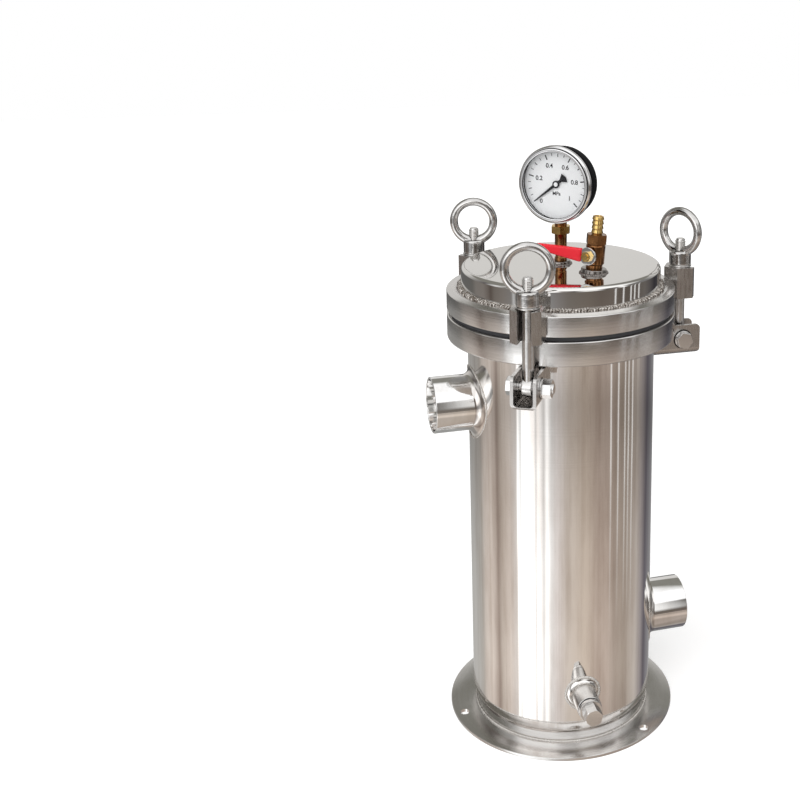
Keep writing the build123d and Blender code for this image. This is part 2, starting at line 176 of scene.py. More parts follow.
# ---------------------------------------------------------------- places on the vessel
SHELL_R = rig.box("shell")[1].y
WALL = 2.5 * MM
INNER_R = SHELL_R - WALL
FLANGE_LOW, FLANGE_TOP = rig.box("body_flange")[0].z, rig.box("body_flange")[1].z
LID_LOW, LID_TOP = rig.box("lid_flange")[0].z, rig.box("lid_flange")[1].z
CAP_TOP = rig.box("lid_cap")[1].z
CAP_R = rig.box("lid_cap")[1].x
FLANGE_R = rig.box("body_flange")[1].x
BOLT_AZIMUTHS = (-30.5, 89.5, 209.5)
BOLT_CIRCLE = 136.8 * MM
PIN_Z = 422.0 * MM
EYE_AZIMUTHS = (-17.0, -57.0, -17.0)
GAUGE_AZIMUTH, GAUGE_Z = -41.0, 602.0 * MM
DRAIN_AZIMUTH, DRAIN_Z = -3.5, 63.0 * MM
VENT_AZIMUTH, VENT_OFFSET = 22.0, 54.0 * MM
VENT_LEAN, VENT_LEAN_AZIMUTH, VENT_STEM_AZIMUTH = 4.5, 73.0, -47.0


def sizes():
    return bpy.context.scene.filter_sizes


def colours():
    return bpy.context.scene.filter_colours


def outward(azimuth, radius, height):
    """Matrix with x along the tangent, y up and z radially outward."""
    a = math.radians(azimuth)
    x, y = Vector((math.cos(a), math.sin(a), 0)), Vector((0, 0, 1))
    z = Vector((math.sin(a), -math.cos(a), 0))
    m = Matrix((x, y, z)).transposed().to_4x4()
    m.translation = z * radius + y * height
    return m


def shifted(x, y, z):
    return Matrix.Translation(Vector((x, y, z)))


def spun(degrees, axis):
    return Matrix.Rotation(math.radians(degrees), 4, axis)


def vent_frame():
    """Matrix of the leaning vent valve: z up its axis, -y along its stem."""
    way = outward(VENT_LEAN_AZIMUTH, 1, 0).translation
    lean = math.radians(VENT_LEAN)
    up = Vector((way.x * math.sin(lean), way.y * math.sin(lean), math.cos(lean)))
    stem = outward(VENT_STEM_AZIMUTH, 1, 0).translation
    x = Vector((-stem.x, -stem.y, 0)).cross(up).normalized()
    m = Matrix((x, up.cross(x), up)).transposed().to_4x4()
    m.translation = outward(VENT_AZIMUTH, VENT_OFFSET, CAP_TOP).translation
    return m


# ---------------------------------------------------------------- objects
def linked(name, data):
    """New object in the scene."""
    obj = bpy.data.objects.new(name, data)
    bpy.context.scene.collection.objects.link(obj)
    return obj


def stored(name, bm):
    """New object that holds a bmesh, which is freed."""
    mesh = bpy.data.meshes.new(name)
    bm.to_mesh(mesh)
    bm.free()
    return linked(name, mesh)


def dress(obj, metal, angle):
    """Give an object one finish and smooth shading, sharp past an angle in degrees."""
    obj.data.materials.clear()
    obj.data.materials.append(finish(metal))
    obj.data.shade_smooth()
    obj.data.set_sharp_from_angle(angle=math.radians(angle))


def settle(obj, body, slot, stands_for=()):
    """Make a finished object ride on its body, stand for its solids and name its finish."""
    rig.ride(obj, body)
    if stands_for:
        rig.replaces(obj, *stands_for)
    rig.slot(obj, slot)


def finish_piece(name, bm, body, metal, slot, stands_for=(), angle=35, recalc=True):
    """Store a bmesh as a piece of the housing, at the origin, riding on its body."""
    bmesh.ops.remove_doubles(bm, verts=bm.verts, dist=JOINED)
    if recalc:
        bmesh.ops.recalc_face_normals(bm, faces=bm.faces)
    obj = stored(name, bm)
    dress(obj, metal, angle)
    settle(obj, body, slot, stands_for)
    return obj


def baked(obj):
    """Apply an object's modifiers by replacing its mesh with the evaluated one."""
    graph = bpy.context.evaluated_depsgraph_get()
    mesh = bpy.data.meshes.new_from_object(obj.evaluated_get(graph))
    obj.modifiers.clear()
    old, obj.data = obj.data, mesh
    bpy.data.meshes.remove(old)


def drilled(obj, cutters):
    """Cut solid shapes out of an object. Each cutter is a bmesh."""
    for cutter in cutters:
        bmesh.ops.recalc_face_normals(cutter, faces=cutter.faces)
        tool = stored("cutter", cutter)
        mod = obj.modifiers.new("cut", "BOOLEAN")
        mod.operation, mod.solver, mod.object = "DIFFERENCE", "EXACT", tool
        bpy.context.view_layer.update()
        baked(obj)
        bpy.data.meshes.remove(tool.data)
    obj.data.set_sharp_from_angle(angle=math.radians(40))


# ---------------------------------------------------------------- outlines and shapes
def mm(*points):
    """Outline given in millimetres."""
    return [tuple(value * MM for value in point) for point in points]


def eased(points, radius, steps=4):
    """Closed outline with its corners rounded. A point is (a, b) or (a, b, own radius)."""
    shortest, straight, most = 1e-9, math.radians(172), 0.45     # most of a side that one corner may use
    out, count = [], len(points)
    for i, p in enumerate(points):
        here = Vector(p[:2])
        d1, d2 = Vector(points[i - 1][:2]) - here, Vector(points[(i + 1) % count][:2]) - here
        r = p[2] if len(p) > 2 else radius
        l1, l2 = d1.length, d2.length
        if r <= 0 or l1 < shortest or l2 < shortest or d1.angle(d2) > straight:
            out.append(here)
            continue
        d1, d2 = d1 / l1, d2 / l2
        half = d1.angle(d2) / 2
        reach = min(r / math.tan(half), most * l1, most * l2)
        middle = here + (d1 + d2).normalized() * (reach * math.tan(half) / math.sin(half))
        a, b = here + d1 * reach - middle, here + d2 * reach - middle
        turn = a.angle_signed(b)
        for k in range(steps + 1):
            c, s = math.cos(turn * k / steps), -math.sin(turn * k / steps)
            out.append(middle + Vector((a.x * c - a.y * s, a.x * s + a.y * c)))
    return out


def tube(outer, inner, low, high, ease):
    """Outline of a tube, with all its corners rounded."""
    return eased([(inner, low), (outer, low), (outer, high), (inner, high)], ease)


def round_bar(radius, low, high):
    """Outline of a plain bar or disc."""
    return [(0, low), (radius, low), (radius, high), (0, high)]


def circle(radius, height, count, x=0.0, y=0.0):
    """Points of a level circle."""
    angles = (2 * math.pi * k / count for k in range(count))
    return [Vector((x + radius * math.cos(a), y + radius * math.sin(a), height)) for a in angles]


def skinned(bm, rings, closed=True):
    """Join each ring of vertices to the next, and the last to the first when closed."""
    for a, b in zip(rings, rings[1:] + rings[:1] if closed else rings[1:]):
        for k in range(len(a)):
            n = (k + 1) % len(a)
            bm.faces.new((a[k], a[n], b[n], b[k]))


def lathe(bm, outline, segments=192, place=None):
    """Turn a closed (radius, height) outline about z. Points on the axis become poles."""
    rings = [[bm.verts.new(v) for v in circle(p[0], p[1], segments if abs(p[0]) > JOINED else 1)]
             for p in outline]
    verts = [v for ring in rings for v in ring]
    for a, b in zip(rings, rings[1:] + rings[:1]):
        if len(a) == 1 and len(b) == 1:
            continue
        for k in range(segments):
            n = (k + 1) % segments
            if len(a) == 1:
                bm.faces.new((a[0], b[n], b[k]))
            elif len(b) == 1:
                bm.faces.new((a[k], a[n], b[0]))
            else:
                bm.faces.new((a[k], a[n], b[n], b[k]))
    if place is not None:
        bmesh.ops.transform(bm, matrix=place, verts=verts)


def turned_piece(name, outline, body, metal, slot, stands_for=(), segments=192, place=None, angle=35,
                 recalc=True, cutters=()):
    """Piece turned from one outline, with solid shapes cut out of it."""
    bm = bmesh.new()
    lathe(bm, outline, segments, place)
    obj = finish_piece(name, bm, body, metal, slot, (), angle, recalc)
    if cutters:
        drilled(obj, cutters)
    if stands_for:
        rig.replaces(obj, *stands_for)
    return obj


def rod(radius, low, high, place=None, segments=96):
    """Round bar to cut with."""
    bm = bmesh.new()
    lathe(bm, round_bar(radius, low, high), segments, place)
    return bm


def prism(bm, outline, low, high, place=None):
    """Extrude a closed flat outline between two heights."""
    bottom, top = ([bm.verts.new((p[0], p[1], z)) for p in outline] for z in (low, high))
    bm.faces.new(list(reversed(bottom)))
    bm.faces.new(top)
    skinned(bm, [bottom, top], closed=False)
    if place is not None:
        bmesh.ops.transform(bm, matrix=place, verts=bottom + top)


def hex_prism(bm, across, low, high, place, turn):
    """Add a hexagon bar whose corners are turned off in a cone at its ends."""
    part = bmesh.new()
    corner, cut = across / math.sqrt(3), 0.055 * across
    level, upright = 0.5, 0.866     # parts of a cutting plane's normal, which leans 30 degrees off the axis
    corners = [(math.cos(a), math.sin(a)) for a in (math.radians(60 * k) for k in range(6))]
    prism(part, [(corner * x, corner * y) for x, y in corners], low, high)
    for end, way in ((low, 1), (high, -1)):
        for x, y in corners:
            normal = Vector((x * level, y * level, -way * upright))
            at = Vector((x * (corner - cut), y * (corner - cut), end))
            got = bmesh.ops.bisect_plane(part, geom=part.verts[:] + part.edges[:] + part.faces[:],
                                         plane_co=at, plane_no=normal, clear_outer=True)
            if any(isinstance(e, bmesh.types.BMEdge) for e in got["geom_cut"]):
                bmesh.ops.holes_fill(part, edges=[e for e in part.edges if e.is_boundary], sides=0)
    bmesh.ops.remove_doubles(part, verts=part.verts, dist=JOINED)
    bmesh.ops.recalc_face_normals(part, faces=part.faces)
    bmesh.ops.transform(part, matrix=place @ spun(turn, "Z"), verts=part.verts)
    mesh = bpy.data.meshes.new("hexagon")
    part.to_mesh(mesh)
    part.free()
    bm.from_mesh(mesh)
    bpy.data.meshes.remove(mesh)


def hex_piece(name, across, low, high, place, turn, body, metal, slot, stands_for=()):
    """Piece that is one hexagon bar."""
    bm = bmesh.new()
    hex_prism(bm, across, low, high, place, turn)
    finish_piece(name, bm, body, metal, slot, stands_for, 30, recalc=False)


def from_solid(name, node, body, metal, slot, bevel, segments=3, angle=30):
    """Finished copy of a flat-sided solid, with its edges broken as a fitter would."""
    bm = bmesh.new()
    bm.from_mesh(frame["nodes"][node].data)
    bmesh.ops.remove_doubles(bm, verts=bm.verts, dist=2e-6)
    bmesh.ops.dissolve_limit(bm, angle_limit=math.radians(1.0), verts=bm.verts, edges=bm.edges)
    obj = stored(name, bm)
    mod = obj.modifiers.new("broken_edges", "BEVEL")
    mod.width, mod.segments, mod.limit_method = bevel, segments, "ANGLE"
    mod.angle_limit = math.radians(angle)
    mod.use_clamp_overlap = True
    baked(obj)
    dress(obj, metal, 38)
    # flat faces shade evenly next to the rounded edges
    obj.modifiers.new("even_shading", "WEIGHTED_NORMAL").keep_sharp = True
    settle(obj, body, slot, (node,))


# ---------------------------------------------------------------- node trees
class Graph:
    """A node tree built step by step."""

    def node(self, kind, inputs=(), **values):
        """New node with its own values set, and its inputs linked to sockets or given values."""
        n = self.tree.nodes.new(kind)
        for key, value in values.items():
            setattr(n, key, value)
        for socket, source in dict(inputs).items():
            if isinstance(source, bpy.types.NodeSocket):
                self.tree.links.new(source, n.inputs[socket])
            else:
                n.inputs[socket].default_value = source
        return n

    def math(self, operation, a, b=0.0):
        return self.node("ShaderNodeMath", {0: a, 1: b}, operation=operation).outputs[0]

    def parts(self, vector):
        return self.node("ShaderNodeSeparateXYZ", {0: vector}).outputs

    def spot(self, x=0.0, y=0.0, z=0.0):
        return self.node("ShaderNodeCombineXYZ", {0: x, 1: y, 2: z}).outputs[0]


class Shader(Graph):
    """The nodes of a material, or of the world when one is given."""

    def __init__(self, name, world=None):
        self.owner = world or bpy.data.materials.get(name) or bpy.data.materials.new(name)
        self.owner.use_nodes = True
        self.tree = self.owner.node_tree
        self.tree.nodes.clear()
        if world is None:
            self.shader = self.node("ShaderNodeBsdfPrincipled")
            self.node("ShaderNodeOutputMaterial", {0: self.shader.outputs[0]})
            self.place = self.node("ShaderNodeTexCoord").outputs["Object"]

    def vector(self, operation, a, b=(0, 0, 0)):
        n = self.node("ShaderNodeVectorMath", {0: a, 1: b}, operation=operation)
        return n.outputs["Value" if operation in ("DOT_PRODUCT", "LENGTH") else "Vector"]

    def stretched(self, scale, turned=(0.0, 0.0, 0.0)):
        n = self.node("ShaderNodeMapping", {"Vector": self.place, "Scale": scale, "Rotation": turned})
        return n.outputs[0]

    def noise(self, scale, detail, rough=0.55, turned=(0.0, 0.0, 0.0)):
        """Noise in object coordinates, with one scale or a scale for each axis."""
        place = self.place
        if isinstance(scale, tuple):
            place, scale = self.stretched(scale, turned), 1.0
        return self.node("ShaderNodeTexNoise", {"Vector": place, "Scale": scale, "Detail": detail,
                                                "Roughness": rough}).outputs["Fac"]

    def marks(self, scale, detail):
        """Lathe marks: noise that varies with radius and height only."""
        x, y, z = self.parts(self.place)
        radius = self.math("SQRT", self.math("ADD", self.math("MULTIPLY", x, x), self.math("MULTIPLY", y, y)))
        place = self.spot(radius, z)
        return self.node("ShaderNodeTexNoise", {"Vector": place, "Scale": scale, "Detail": detail,
                                                "Roughness": 0.55}).outputs["Fac"]

    def down_the_wall(self):
        """Tangent that runs across lathe marks: up a wall, and outwards on a face."""
        normal = self.node("ShaderNodeNewGeometry").outputs["Normal"]
        around = self.vector("CROSS_PRODUCT", (0, 0, 1), self.place)
        return self.vector("NORMALIZE", self.vector("CROSS_PRODUCT", around, normal))

    def from_line(self, spot, axis):
        """Distance of the place from a straight line, and how far along the line it lies."""
        way = self.vector("SUBTRACT", self.place, spot)
        along, length = self.vector("DOT_PRODUCT", way, axis), self.vector("LENGTH", way)
        square = self.math("SUBTRACT", self.math("MULTIPLY", length, length), self.math("MULTIPLY", along, along))
        return self.math("SQRT", self.math("MAXIMUM", square, 0.0)), along

    def seen(self):
        """1 where the eye looks, straight or through glass and steel."""
        path = self.node("ShaderNodeLightPath").outputs
        return self.math("MAXIMUM", path["Is Camera Ray"],
                         self.math("MAXIMUM", path["Is Glossy Ray"], path["Is Transmission Ray"]))

    def span(self, value, low, high, start=0.3, end=0.7):
        """Value carried from start and end over to low and high."""
        return self.node("ShaderNodeMapRange", {"Value": value, "From Min": start, "From Max": end,
                                                "To Min": low, "To Max": high}).outputs[0]

    def blend(self, amount, low, high):
        """Mix of two colours, each a plain colour or a socket."""
        low, high = (c if isinstance(c, bpy.types.NodeSocket) else (*c, 1) for c in (low, high))
        return self.node("ShaderNodeMix", {0: amount, 6: low, 7: high}, data_type="RGBA").outputs[2]

    def ramp(self, value, stops):
        """Colour that follows a value along a row of (position, colour) stops."""
        n = self.node("ShaderNodeValToRGB", {0: value})
        elements = n.color_ramp.elements
        while len(elements) < len(stops):
            elements.new(0.5)
        for element, (position, colour) in zip(elements, stops):
            element.position, element.color = position, (*colour, 1)
        return n.outputs[0]

    def bump(self, height, strength, distance, onto=None):
        inputs = {"Strength": strength, "Distance": distance, "Height": height}
        if onto is not None:
            inputs["Normal"] = onto
        return self.node("ShaderNodeBump", inputs).outputs[0]

    def set(self, **values):
        """Give the shader its values and hand back the material."""
        for key, value in values.items():
            socket = self.shader.inputs[key.replace("_", " ")]
            if isinstance(value, bpy.types.NodeSocket):
                self.tree.links.new(value, socket)
            else:
                socket.default_value = (*value, 1) if isinstance(value, tuple) else value
        return self.owner


class Tree(Graph):
    """A geometry node tree whose inputs are a geometry, the named numbers and a material."""

    def __init__(self, name, **numbers):
        self.tree = bpy.data.node_groups.new(name, "GeometryNodeTree")
        self.socket("Geometry", "Geometry")
        for title, value in numbers.items():
            kind = "Int" if isinstance(value, int) else "Float"
            self.socket(title.replace("_", " "), kind).default_value = value
        self.socket("Material", "Material")
        self.socket("Geometry", "Geometry", "OUTPUT")
        self.given = self.node("NodeGroupInput").outputs

    def socket(self, title, kind, way="INPUT"):
        return self.tree.interface.new_socket(title, in_out=way, socket_type="NodeSocket" + kind)

    def rolled(self, angle, radius, height=0.0):
        """Place on a cylinder from its angle, radius and height."""
        return self.spot(self.math("MULTIPLY", self.math("COSINE", angle), radius),
                         self.math("MULTIPLY", self.math("SINE", angle), radius), height)

    def laid(self, points, piece, **inputs):
        """Copies of a piece on the points, turned and scaled by further inputs."""
        inputs.update(Points=points, Instance=piece)
        return self.node("GeometryNodeInstanceOnPoints", inputs).outputs[0]

    def close(self, geometry):
        """Realize the instances, set the material and end the tree."""
        real = self.node("GeometryNodeRealizeInstances", {0: geometry})
        painted = self.node("GeometryNodeSetMaterial", {0: real.outputs[0], "Material": self.given["Material"]})
        self.node("NodeGroupOutput", {0: painted.outputs[0]})
        return self.tree


def grown(obj, maker, metal, **values):
    """Run a tree on an object with its inputs set by identifier, and keep the plain mesh."""
    tree = bpy.data.node_groups.get(maker.__name__) or maker()
    values["Material"] = finish(metal)
    mod = obj.modifiers.new(tree.name, "NODES")
    mod.node_group = tree
    for item in tree.interface.items_tree:
        if item.item_type == "SOCKET" and item.in_out == "INPUT" and item.name != "Geometry":
            mod[item.identifier] = values[item.name.replace(" ", "_")]
    obj.update_tag()
    bpy.context.view_layer.update()
    baked(obj)
    obj.data.materials.clear()
    obj.data.materials.append(finish(metal))
    obj.data.polygons.foreach_set("material_index", [0] * len(obj.data.polygons))


# ---------------------------------------------------------------- finishes
def shades(colour, depth):
    """Dark and light tone of a colour, the dark one scaled by depth."""
    return tuple(c * d for c, d in zip(colour, depth)), tuple(colour)


def grained(name, tones, mottle, roughness, grain, relief, **values):
    """Finish whose mottling drives colour and roughness, under a fine grain in relief."""
    n = Shader(name)
    cloud = n.noise(*mottle)
    return n.set(Base_Color=n.blend(cloud, *tones), Roughness=n.span(cloud, *roughness),
                 Normal=n.bump(n.noise(*grain), *relief), **values)


def mirror_steel(name="mirror_steel", low=(0.62, 0.575, 0.54), high=(0.84, 0.82, 0.80)):
    """Buffed stainless: slow waviness of the sheet, upright polishing streaks and slanting smears."""
    n = Shader(name)
    streak = n.noise((110.0, 110.0, 1.6), 4.0, 0.6)
    smear = n.noise((34.0, 34.0, 6.0), 5.0, 0.6, (0.0, 0.30, 0.12))
    tone = n.math("ADD", n.math("MULTIPLY", streak, 0.4), n.math("MULTIPLY", smear, 0.6))
    wave = n.bump(n.noise((13.0, 13.0, 3.4), 2.0), 0.26, 0.0012)
    return n.set(Metallic=1.0, Base_Color=n.blend(n.span(tone, 0.0, 1.0, 0.36, 0.58), low, high),
                 Roughness=n.span(tone, 0.035, 0.085, 0.62, 0.38), Anisotropic=0.75,
                 Normal=n.bump(n.marks(700.0, 3.0), 0.05, 0.0002, wave), Tangent=n.down_the_wall())


def pipe_steel():
    """The same buffing on the pipes, which are paler."""
    return mirror_steel("pipe_steel", (0.86, 0.845, 0.83), (0.97, 0.97, 0.97))


def cover_steel():
    """Polished cover: one smooth pale sheet with the faintest haze."""
    n = Shader("cover_steel")
    haze = n.noise(9.0, 3.0)
    return n.set(Metallic=1.0, Base_Color=n.blend(haze, (0.78, 0.765, 0.745), (0.85, 0.84, 0.825)),
                 Roughness=n.span(haze, 0.035, 0.07), Normal=n.bump(n.marks(900.0, 2.0), 0.03, 0.0002))


def turned_steel():
    """Lathe-turned flange faces: close concentric marks that stretch the highlights."""
    n = Shader("turned_steel")
    bands = n.marks(300.0, 3.0)
    normal = n.bump(n.marks(2600.0, 2.0), 0.18, 0.0002, n.bump(bands, 0.12, 0.0003))
    return n.set(Metallic=1.0, Base_Color=n.blend(bands, (0.66, 0.645, 0.63), (0.80, 0.79, 0.78)),
                 Roughness=n.span(n.noise((25.0, 25.0, 60.0), 4.0), 0.13, 0.25), Anisotropic=0.7,
                 Normal=normal, Tangent=n.down_the_wall())


def plate_steel(name="plate_steel", azimuth=None, floor=None):
    """Cut and ground plate of the lugs and forks. A fork gets painted shade in its hollow and a painted shadow round
    each pin head.
    """
    n = Shader(name)
    grain, patch = n.noise((500.0, 500.0, 60.0), 4.0), n.noise(45.0, 5.0)
    ground = n.blend(patch, (0.42, 0.395, 0.38), (0.66, 0.65, 0.64))
    if azimuth is not None:
        half_gap = 9.9 * MM
        x, y, z = n.parts(n.stretched((1, 1, 1), (0, 0, -math.radians(azimuth))))
        across = n.span(n.math("ABSOLUTE", x), 1.0, 0.0, half_gap - 0.4 * MM, half_gap)
        above = n.span(z, 0.0, 1.0, floor, floor + 0.8 * MM)
        behind = n.span(y, 1.0, 0.0, -(SHELL_R + 12 * MM), -(SHELL_R + 26 * MM))
        # painted shade inside the fork's hollow: between its cheeks, above its floor and towards the shell
        scale = n.math("MULTIPLY", n.math("MULTIPLY", across, above), behind)
        pin = outward(azimuth, BOLT_CIRCLE, PIN_Z)
        reach, _ = n.from_line(pin.translation, pin.to_3x3() @ Vector((1, 0, 0)))
        # painted shadow in a ring round the pin's head
        painted_pin_shadow = n.math("MULTIPLY", n.span(reach, 0.0, 1.0, 7.4 * MM, 8.4 * MM),
                        n.span(reach, 1.0, 0.0, 10.4 * MM, 11.4 * MM))
        ground = n.blend(n.math("MAXIMUM", scale, painted_pin_shadow), ground, (0.03, 0.028, 0.027))
    return n.set(Metallic=1.0, Base_Color=ground, Roughness=n.span(grain, 0.18, 0.34),
                 Normal=n.bump(grain, 0.22, 0.0003, n.bump(patch, 0.1, 0.0006)))


def zinc_steel():
    """Bright fasteners: plated, a little brighter than the plate they hold."""
    return grained("zinc_steel", ((0.74, 0.735, 0.73), (0.90, 0.895, 0.89)), (160.0, 4.0), (0.1, 0.24),
                   (1100.0, 2.0), (0.08, 0.0002), Metallic=1.0)


def burnt_steel():
    """Bosses of the cover and their welds: their dark tone is a painted dark reflection."""
    return grained("burnt_steel", ((0.10, 0.09, 0.085), (0.46, 0.43, 0.41)), (120.0, 4.0), (0.1, 0.24),
                   (800.0, 3.0), (0.15, 0.0003), Metallic=1.0)


def forged_steel():
    """Drop-forged and polished eye nuts: soft dents under a bright skin."""
    n = Shader("forged_steel")
    dents = n.noise(130.0, 3.0)
    normal = n.bump(n.noise(900.0, 3.0), 0.06, 0.0002, n.bump(dents, 0.22, 0.0008))
    return n.set(Metallic=1.0, Base_Color=n.blend(dents, (0.50, 0.49, 0.48), (0.72, 0.71, 0.70)),
                 Roughness=n.span(dents, 0.06, 0.15), Normal=normal)


def satin_steel():
    """Rolled sheet and wire of the basket and its seat."""
    rolled = ((60.0, 60.0, 900.0), 4.0)
    return grained("satin_steel", ((0.60, 0.60, 0.60), (0.72, 0.72, 0.72)), rolled, (0.24, 0.38),
                   rolled, (0.12, 0.0003), Metallic=1.0)


def weld_metal():
    """Weld beads: bright ripples with a straw tint where the heat was."""
    return grained("weld_metal", ((0.60, 0.56, 0.52), (0.84, 0.83, 0.81)), (60.0, 4.0), (0.16, 0.32),
                   (700.0, 3.0), (0.3, 0.0004), Metallic=1.0)


def scorched_weld():
    """Unpolished weld: ripples in straw and brown heat colours, with painted glints as pale specks."""
    n = Shader("scorched_weld")
    heat, sparkle = n.noise(70.0, 3.0), n.noise(520.0, 4.0, 0.7)
    # the pale specks where the fine ripples peak are painted glints
    bright = n.math("MULTIPLY", n.span(sparkle, 0.0, 1.0, 0.4, 0.6), n.span(heat, 0.55, 1.0))
    return n.set(Metallic=1.0, Base_Color=n.blend(bright, (0.10, 0.075, 0.055), (0.90, 0.86, 0.82)),
                 Roughness=n.span(sparkle, 0.08, 0.22), Normal=n.bump(sparkle, 0.4, 0.0005))


def brass_metal(name="brass_metal", tones=None):
    """Machined brass, its tone and roughness mottled at random."""
    return grained(name, tones or shades(colours().brass, (0.68, 0.58, 0.42)), (90.0, 4.0), (0.10, 0.24),
                   ((150.0, 150.0, 1500.0), 3.0), (0.12, 0.0003), Metallic=1.0)


def bronze_metal():
    """The same machining on darkened bronze."""
    return brass_metal("bronze_metal", shades(colours().bronze, (0.16, 0.12, 0.16)))


def chrome_metal():
    """Plated trim: nearly a mirror with a breath of haze."""
    haze = (45.0, 4.0)
    return grained("chrome_metal", ((0.78, 0.78, 0.79), (0.86, 0.86, 0.87)), haze, (0.03, 0.1),
                   haze, (0.03, 0.0005), Metallic=1.0)


def bezel_metal():
    """Bright ring with painted shade in the seam where its lips meet and round its inner edge, and painted near black
    as shade over its back half.
    """
    n = Shader("bezel_metal")
    haze = n.noise(45.0, 4.0)
    face = outward(GAUGE_AZIMUTH, 0, GAUGE_Z)
    radius, depth = n.from_line(face.translation, face.to_3x3() @ Vector((0, 0, 1)))
    off = n.math("ABSOLUTE", n.math("SUBTRACT", radius, 38.6 * MM))
    # painted shade in the seam between the lips and round the inner edge
    seam = n.math("MAXIMUM", n.span(off, 1.0, 0.0, 0.25 * MM, 0.6 * MM),
                  n.span(radius, 1.0, 0.0, 35.4 * MM, 35.8 * MM))
    # painted shade over the back half too
    dark = n.math("MAXIMUM", seam, n.span(depth, 1.0, 0.0, 13.2 * MM, 13.6 * MM))
    shine = n.math("SUBTRACT", 1.0, dark)
    ring = n.blend(dark, n.blend(haze, (0.76, 0.76, 0.77), (0.88, 0.88, 0.89)), (0.008, 0.008, 0.009))
    return n.set(Metallic=shine, Base_Color=ring, Normal=n.bump(haze, 0.03, 0.0005),
                 Roughness=n.math("ADD", n.span(haze, 0.05, 0.12), n.math("MULTIPLY", dark, 0.5)),
                 Specular_IOR_Level=n.math("MULTIPLY", shine, 0.5))


def black_enamel():
    """Baked enamel with a faint orange-peel skin."""
    return grained("black_enamel", shades(colours().case, (0.4, 0.4, 0.4)), (60.0, 5.0), (0.55, 0.65),
                   (420.0, 2.0), (0.1, 0.0003), Specular_IOR_Level=0.06)


def dial_white(name="dial_white", tones=None):
    """Printed enamel of the dial."""
    return grained(name, tones or shades(colours().dial, (0.98, 0.985, 0.99)), (14.0, 3.0), (0.4, 0.5),
                   (1500.0, 2.0), (0.04, 0.0002), Specular_IOR_Level=0.12)


def dial_ink():
    """Ink of the scale, and the paint of the needle."""
    return dial_white("dial_ink", shades(colours().ink, (0.5, 0.5, 0.5)))


def window_glass():
    """Clear flat gauge glass: it mirrors only as much as its angle allows."""
    n = Shader("window_glass")
    ripple = n.noise(30.0, 2.0)
    edge = n.node("ShaderNodeLayerWeight", {"Blend": 0.22}).outputs["Fresnel"]
    return n.set(Base_Color=(0.97, 0.99, 1.0), Metallic=1.0, Alpha=n.span(edge, 0.004, 0.5, 0, 1),
                 Roughness=n.span(ripple, 0.02, 0.05), Normal=n.bump(ripple, 0.02, 0.0004))


def seal_rubber():
    """Black rubber of the seals."""
    return grained("seal_rubber", shades(colours().rubber, (0.35, 0.35, 0.35)), (80.0, 4.0), (0.55, 0.75),
                   (1400.0, 3.0), (0.2, 0.0003), Specular_IOR_Level=0.25)


def red_vinyl():
    """Dipped vinyl sleeve: deep red, glossy, thicker in slow drips."""
    return grained("red_vinyl", shades(colours().sleeve, (0.79, 0.5, 0.5)), (70.0, 4.0), (0.32, 0.44),
                   ((90.0, 90.0, 30.0), 2.0), (0.15, 0.0008), Specular_IOR_Level=0.12)


def bag_felt():
    """Needle felt: matted fibres, soft mottling and a fuzzy sheen."""
    n = Shader("bag_felt")
    fibres = n.noise((1100.0, 1100.0, 500.0), 5.0, 0.7)
    return n.set(Base_Color=n.blend(n.noise(60.0, 4.0), *shades(colours().felt, (0.89, 0.885, 0.87))),
                 Roughness=n.span(fibres, 0.85, 1.0), Normal=n.bump(fibres, 0.5, 0.0006), Sheen_Weight=0.3)


def ring_plastic():
    """Moulded ring of the bag."""
    return grained("ring_plastic", shades(colours().ring, (0.91, 0.91, 0.91)), (50.0, 4.0), (0.4, 0.55),
                   (900.0, 2.0), (0.1, 0.0003))


MAKERS = {maker.__name__: maker for maker in (
    mirror_steel, pipe_steel, cover_steel, turned_steel, plate_steel, zinc_steel, burnt_steel, forged_steel,
    satin_steel, weld_metal, scorched_weld, brass_metal, bronze_metal, chrome_metal, bezel_metal, black_enamel,
    dial_white, dial_ink, window_glass, seal_rubber, red_vinyl, bag_felt, ring_plastic)}


def finish(name):
    """The finish by name, made once."""
    return bpy.data.materials.get(name) or MAKERS[name]()


# ---------------------------------------------------------------- what repeats
def weld_bead():
    """Weld bead: overlapping ripples laid along the object's edges."""
    t = Tree("weld_bead", Spacing=0.0016, Width=0.005, Height=0.0024, Unevenness=0.15, Overlap=1.6, Seed=3)
    line = t.node("GeometryNodeMeshToCurve", {"Mesh": t.given["Geometry"]})
    even = t.node("GeometryNodeResampleCurve", {"Curve": line.outputs[0], "Length": t.given["Spacing"]},
                  mode="LENGTH")
    points = t.node("GeometryNodeCurveToPoints", {"Curve": even.outputs[0]}, mode="EVALUATED").outputs
    lump = t.node("GeometryNodeMeshUVSphere", {"Segments": 10, "Rings": 6, "Radius": 0.5})
    jitter = t.node("FunctionNodeRandomValue",
                    {2: t.math("SUBTRACT", 1.0, t.given["Unevenness"]),
                     3: t.math("ADD", 1.0, t.given["Unevenness"]), "Seed": t.given["Seed"]},
                    data_type="FLOAT").outputs[1]
    scale = t.spot(t.math("MULTIPLY", t.given["Width"], jitter),
                   t.math("MULTIPLY", t.given["Height"], t.math("ADD", jitter, 1.0)),
                   t.math("MULTIPLY", t.given["Spacing"], t.given["Overlap"]))
    laid = t.laid(points["Points"], lump.outputs["Mesh"], Rotation=points["Rotation"], Scale=scale)
    return t.close(t.node("GeometryNodeSetShadeSmooth", {"Geometry": laid}).outputs[0])


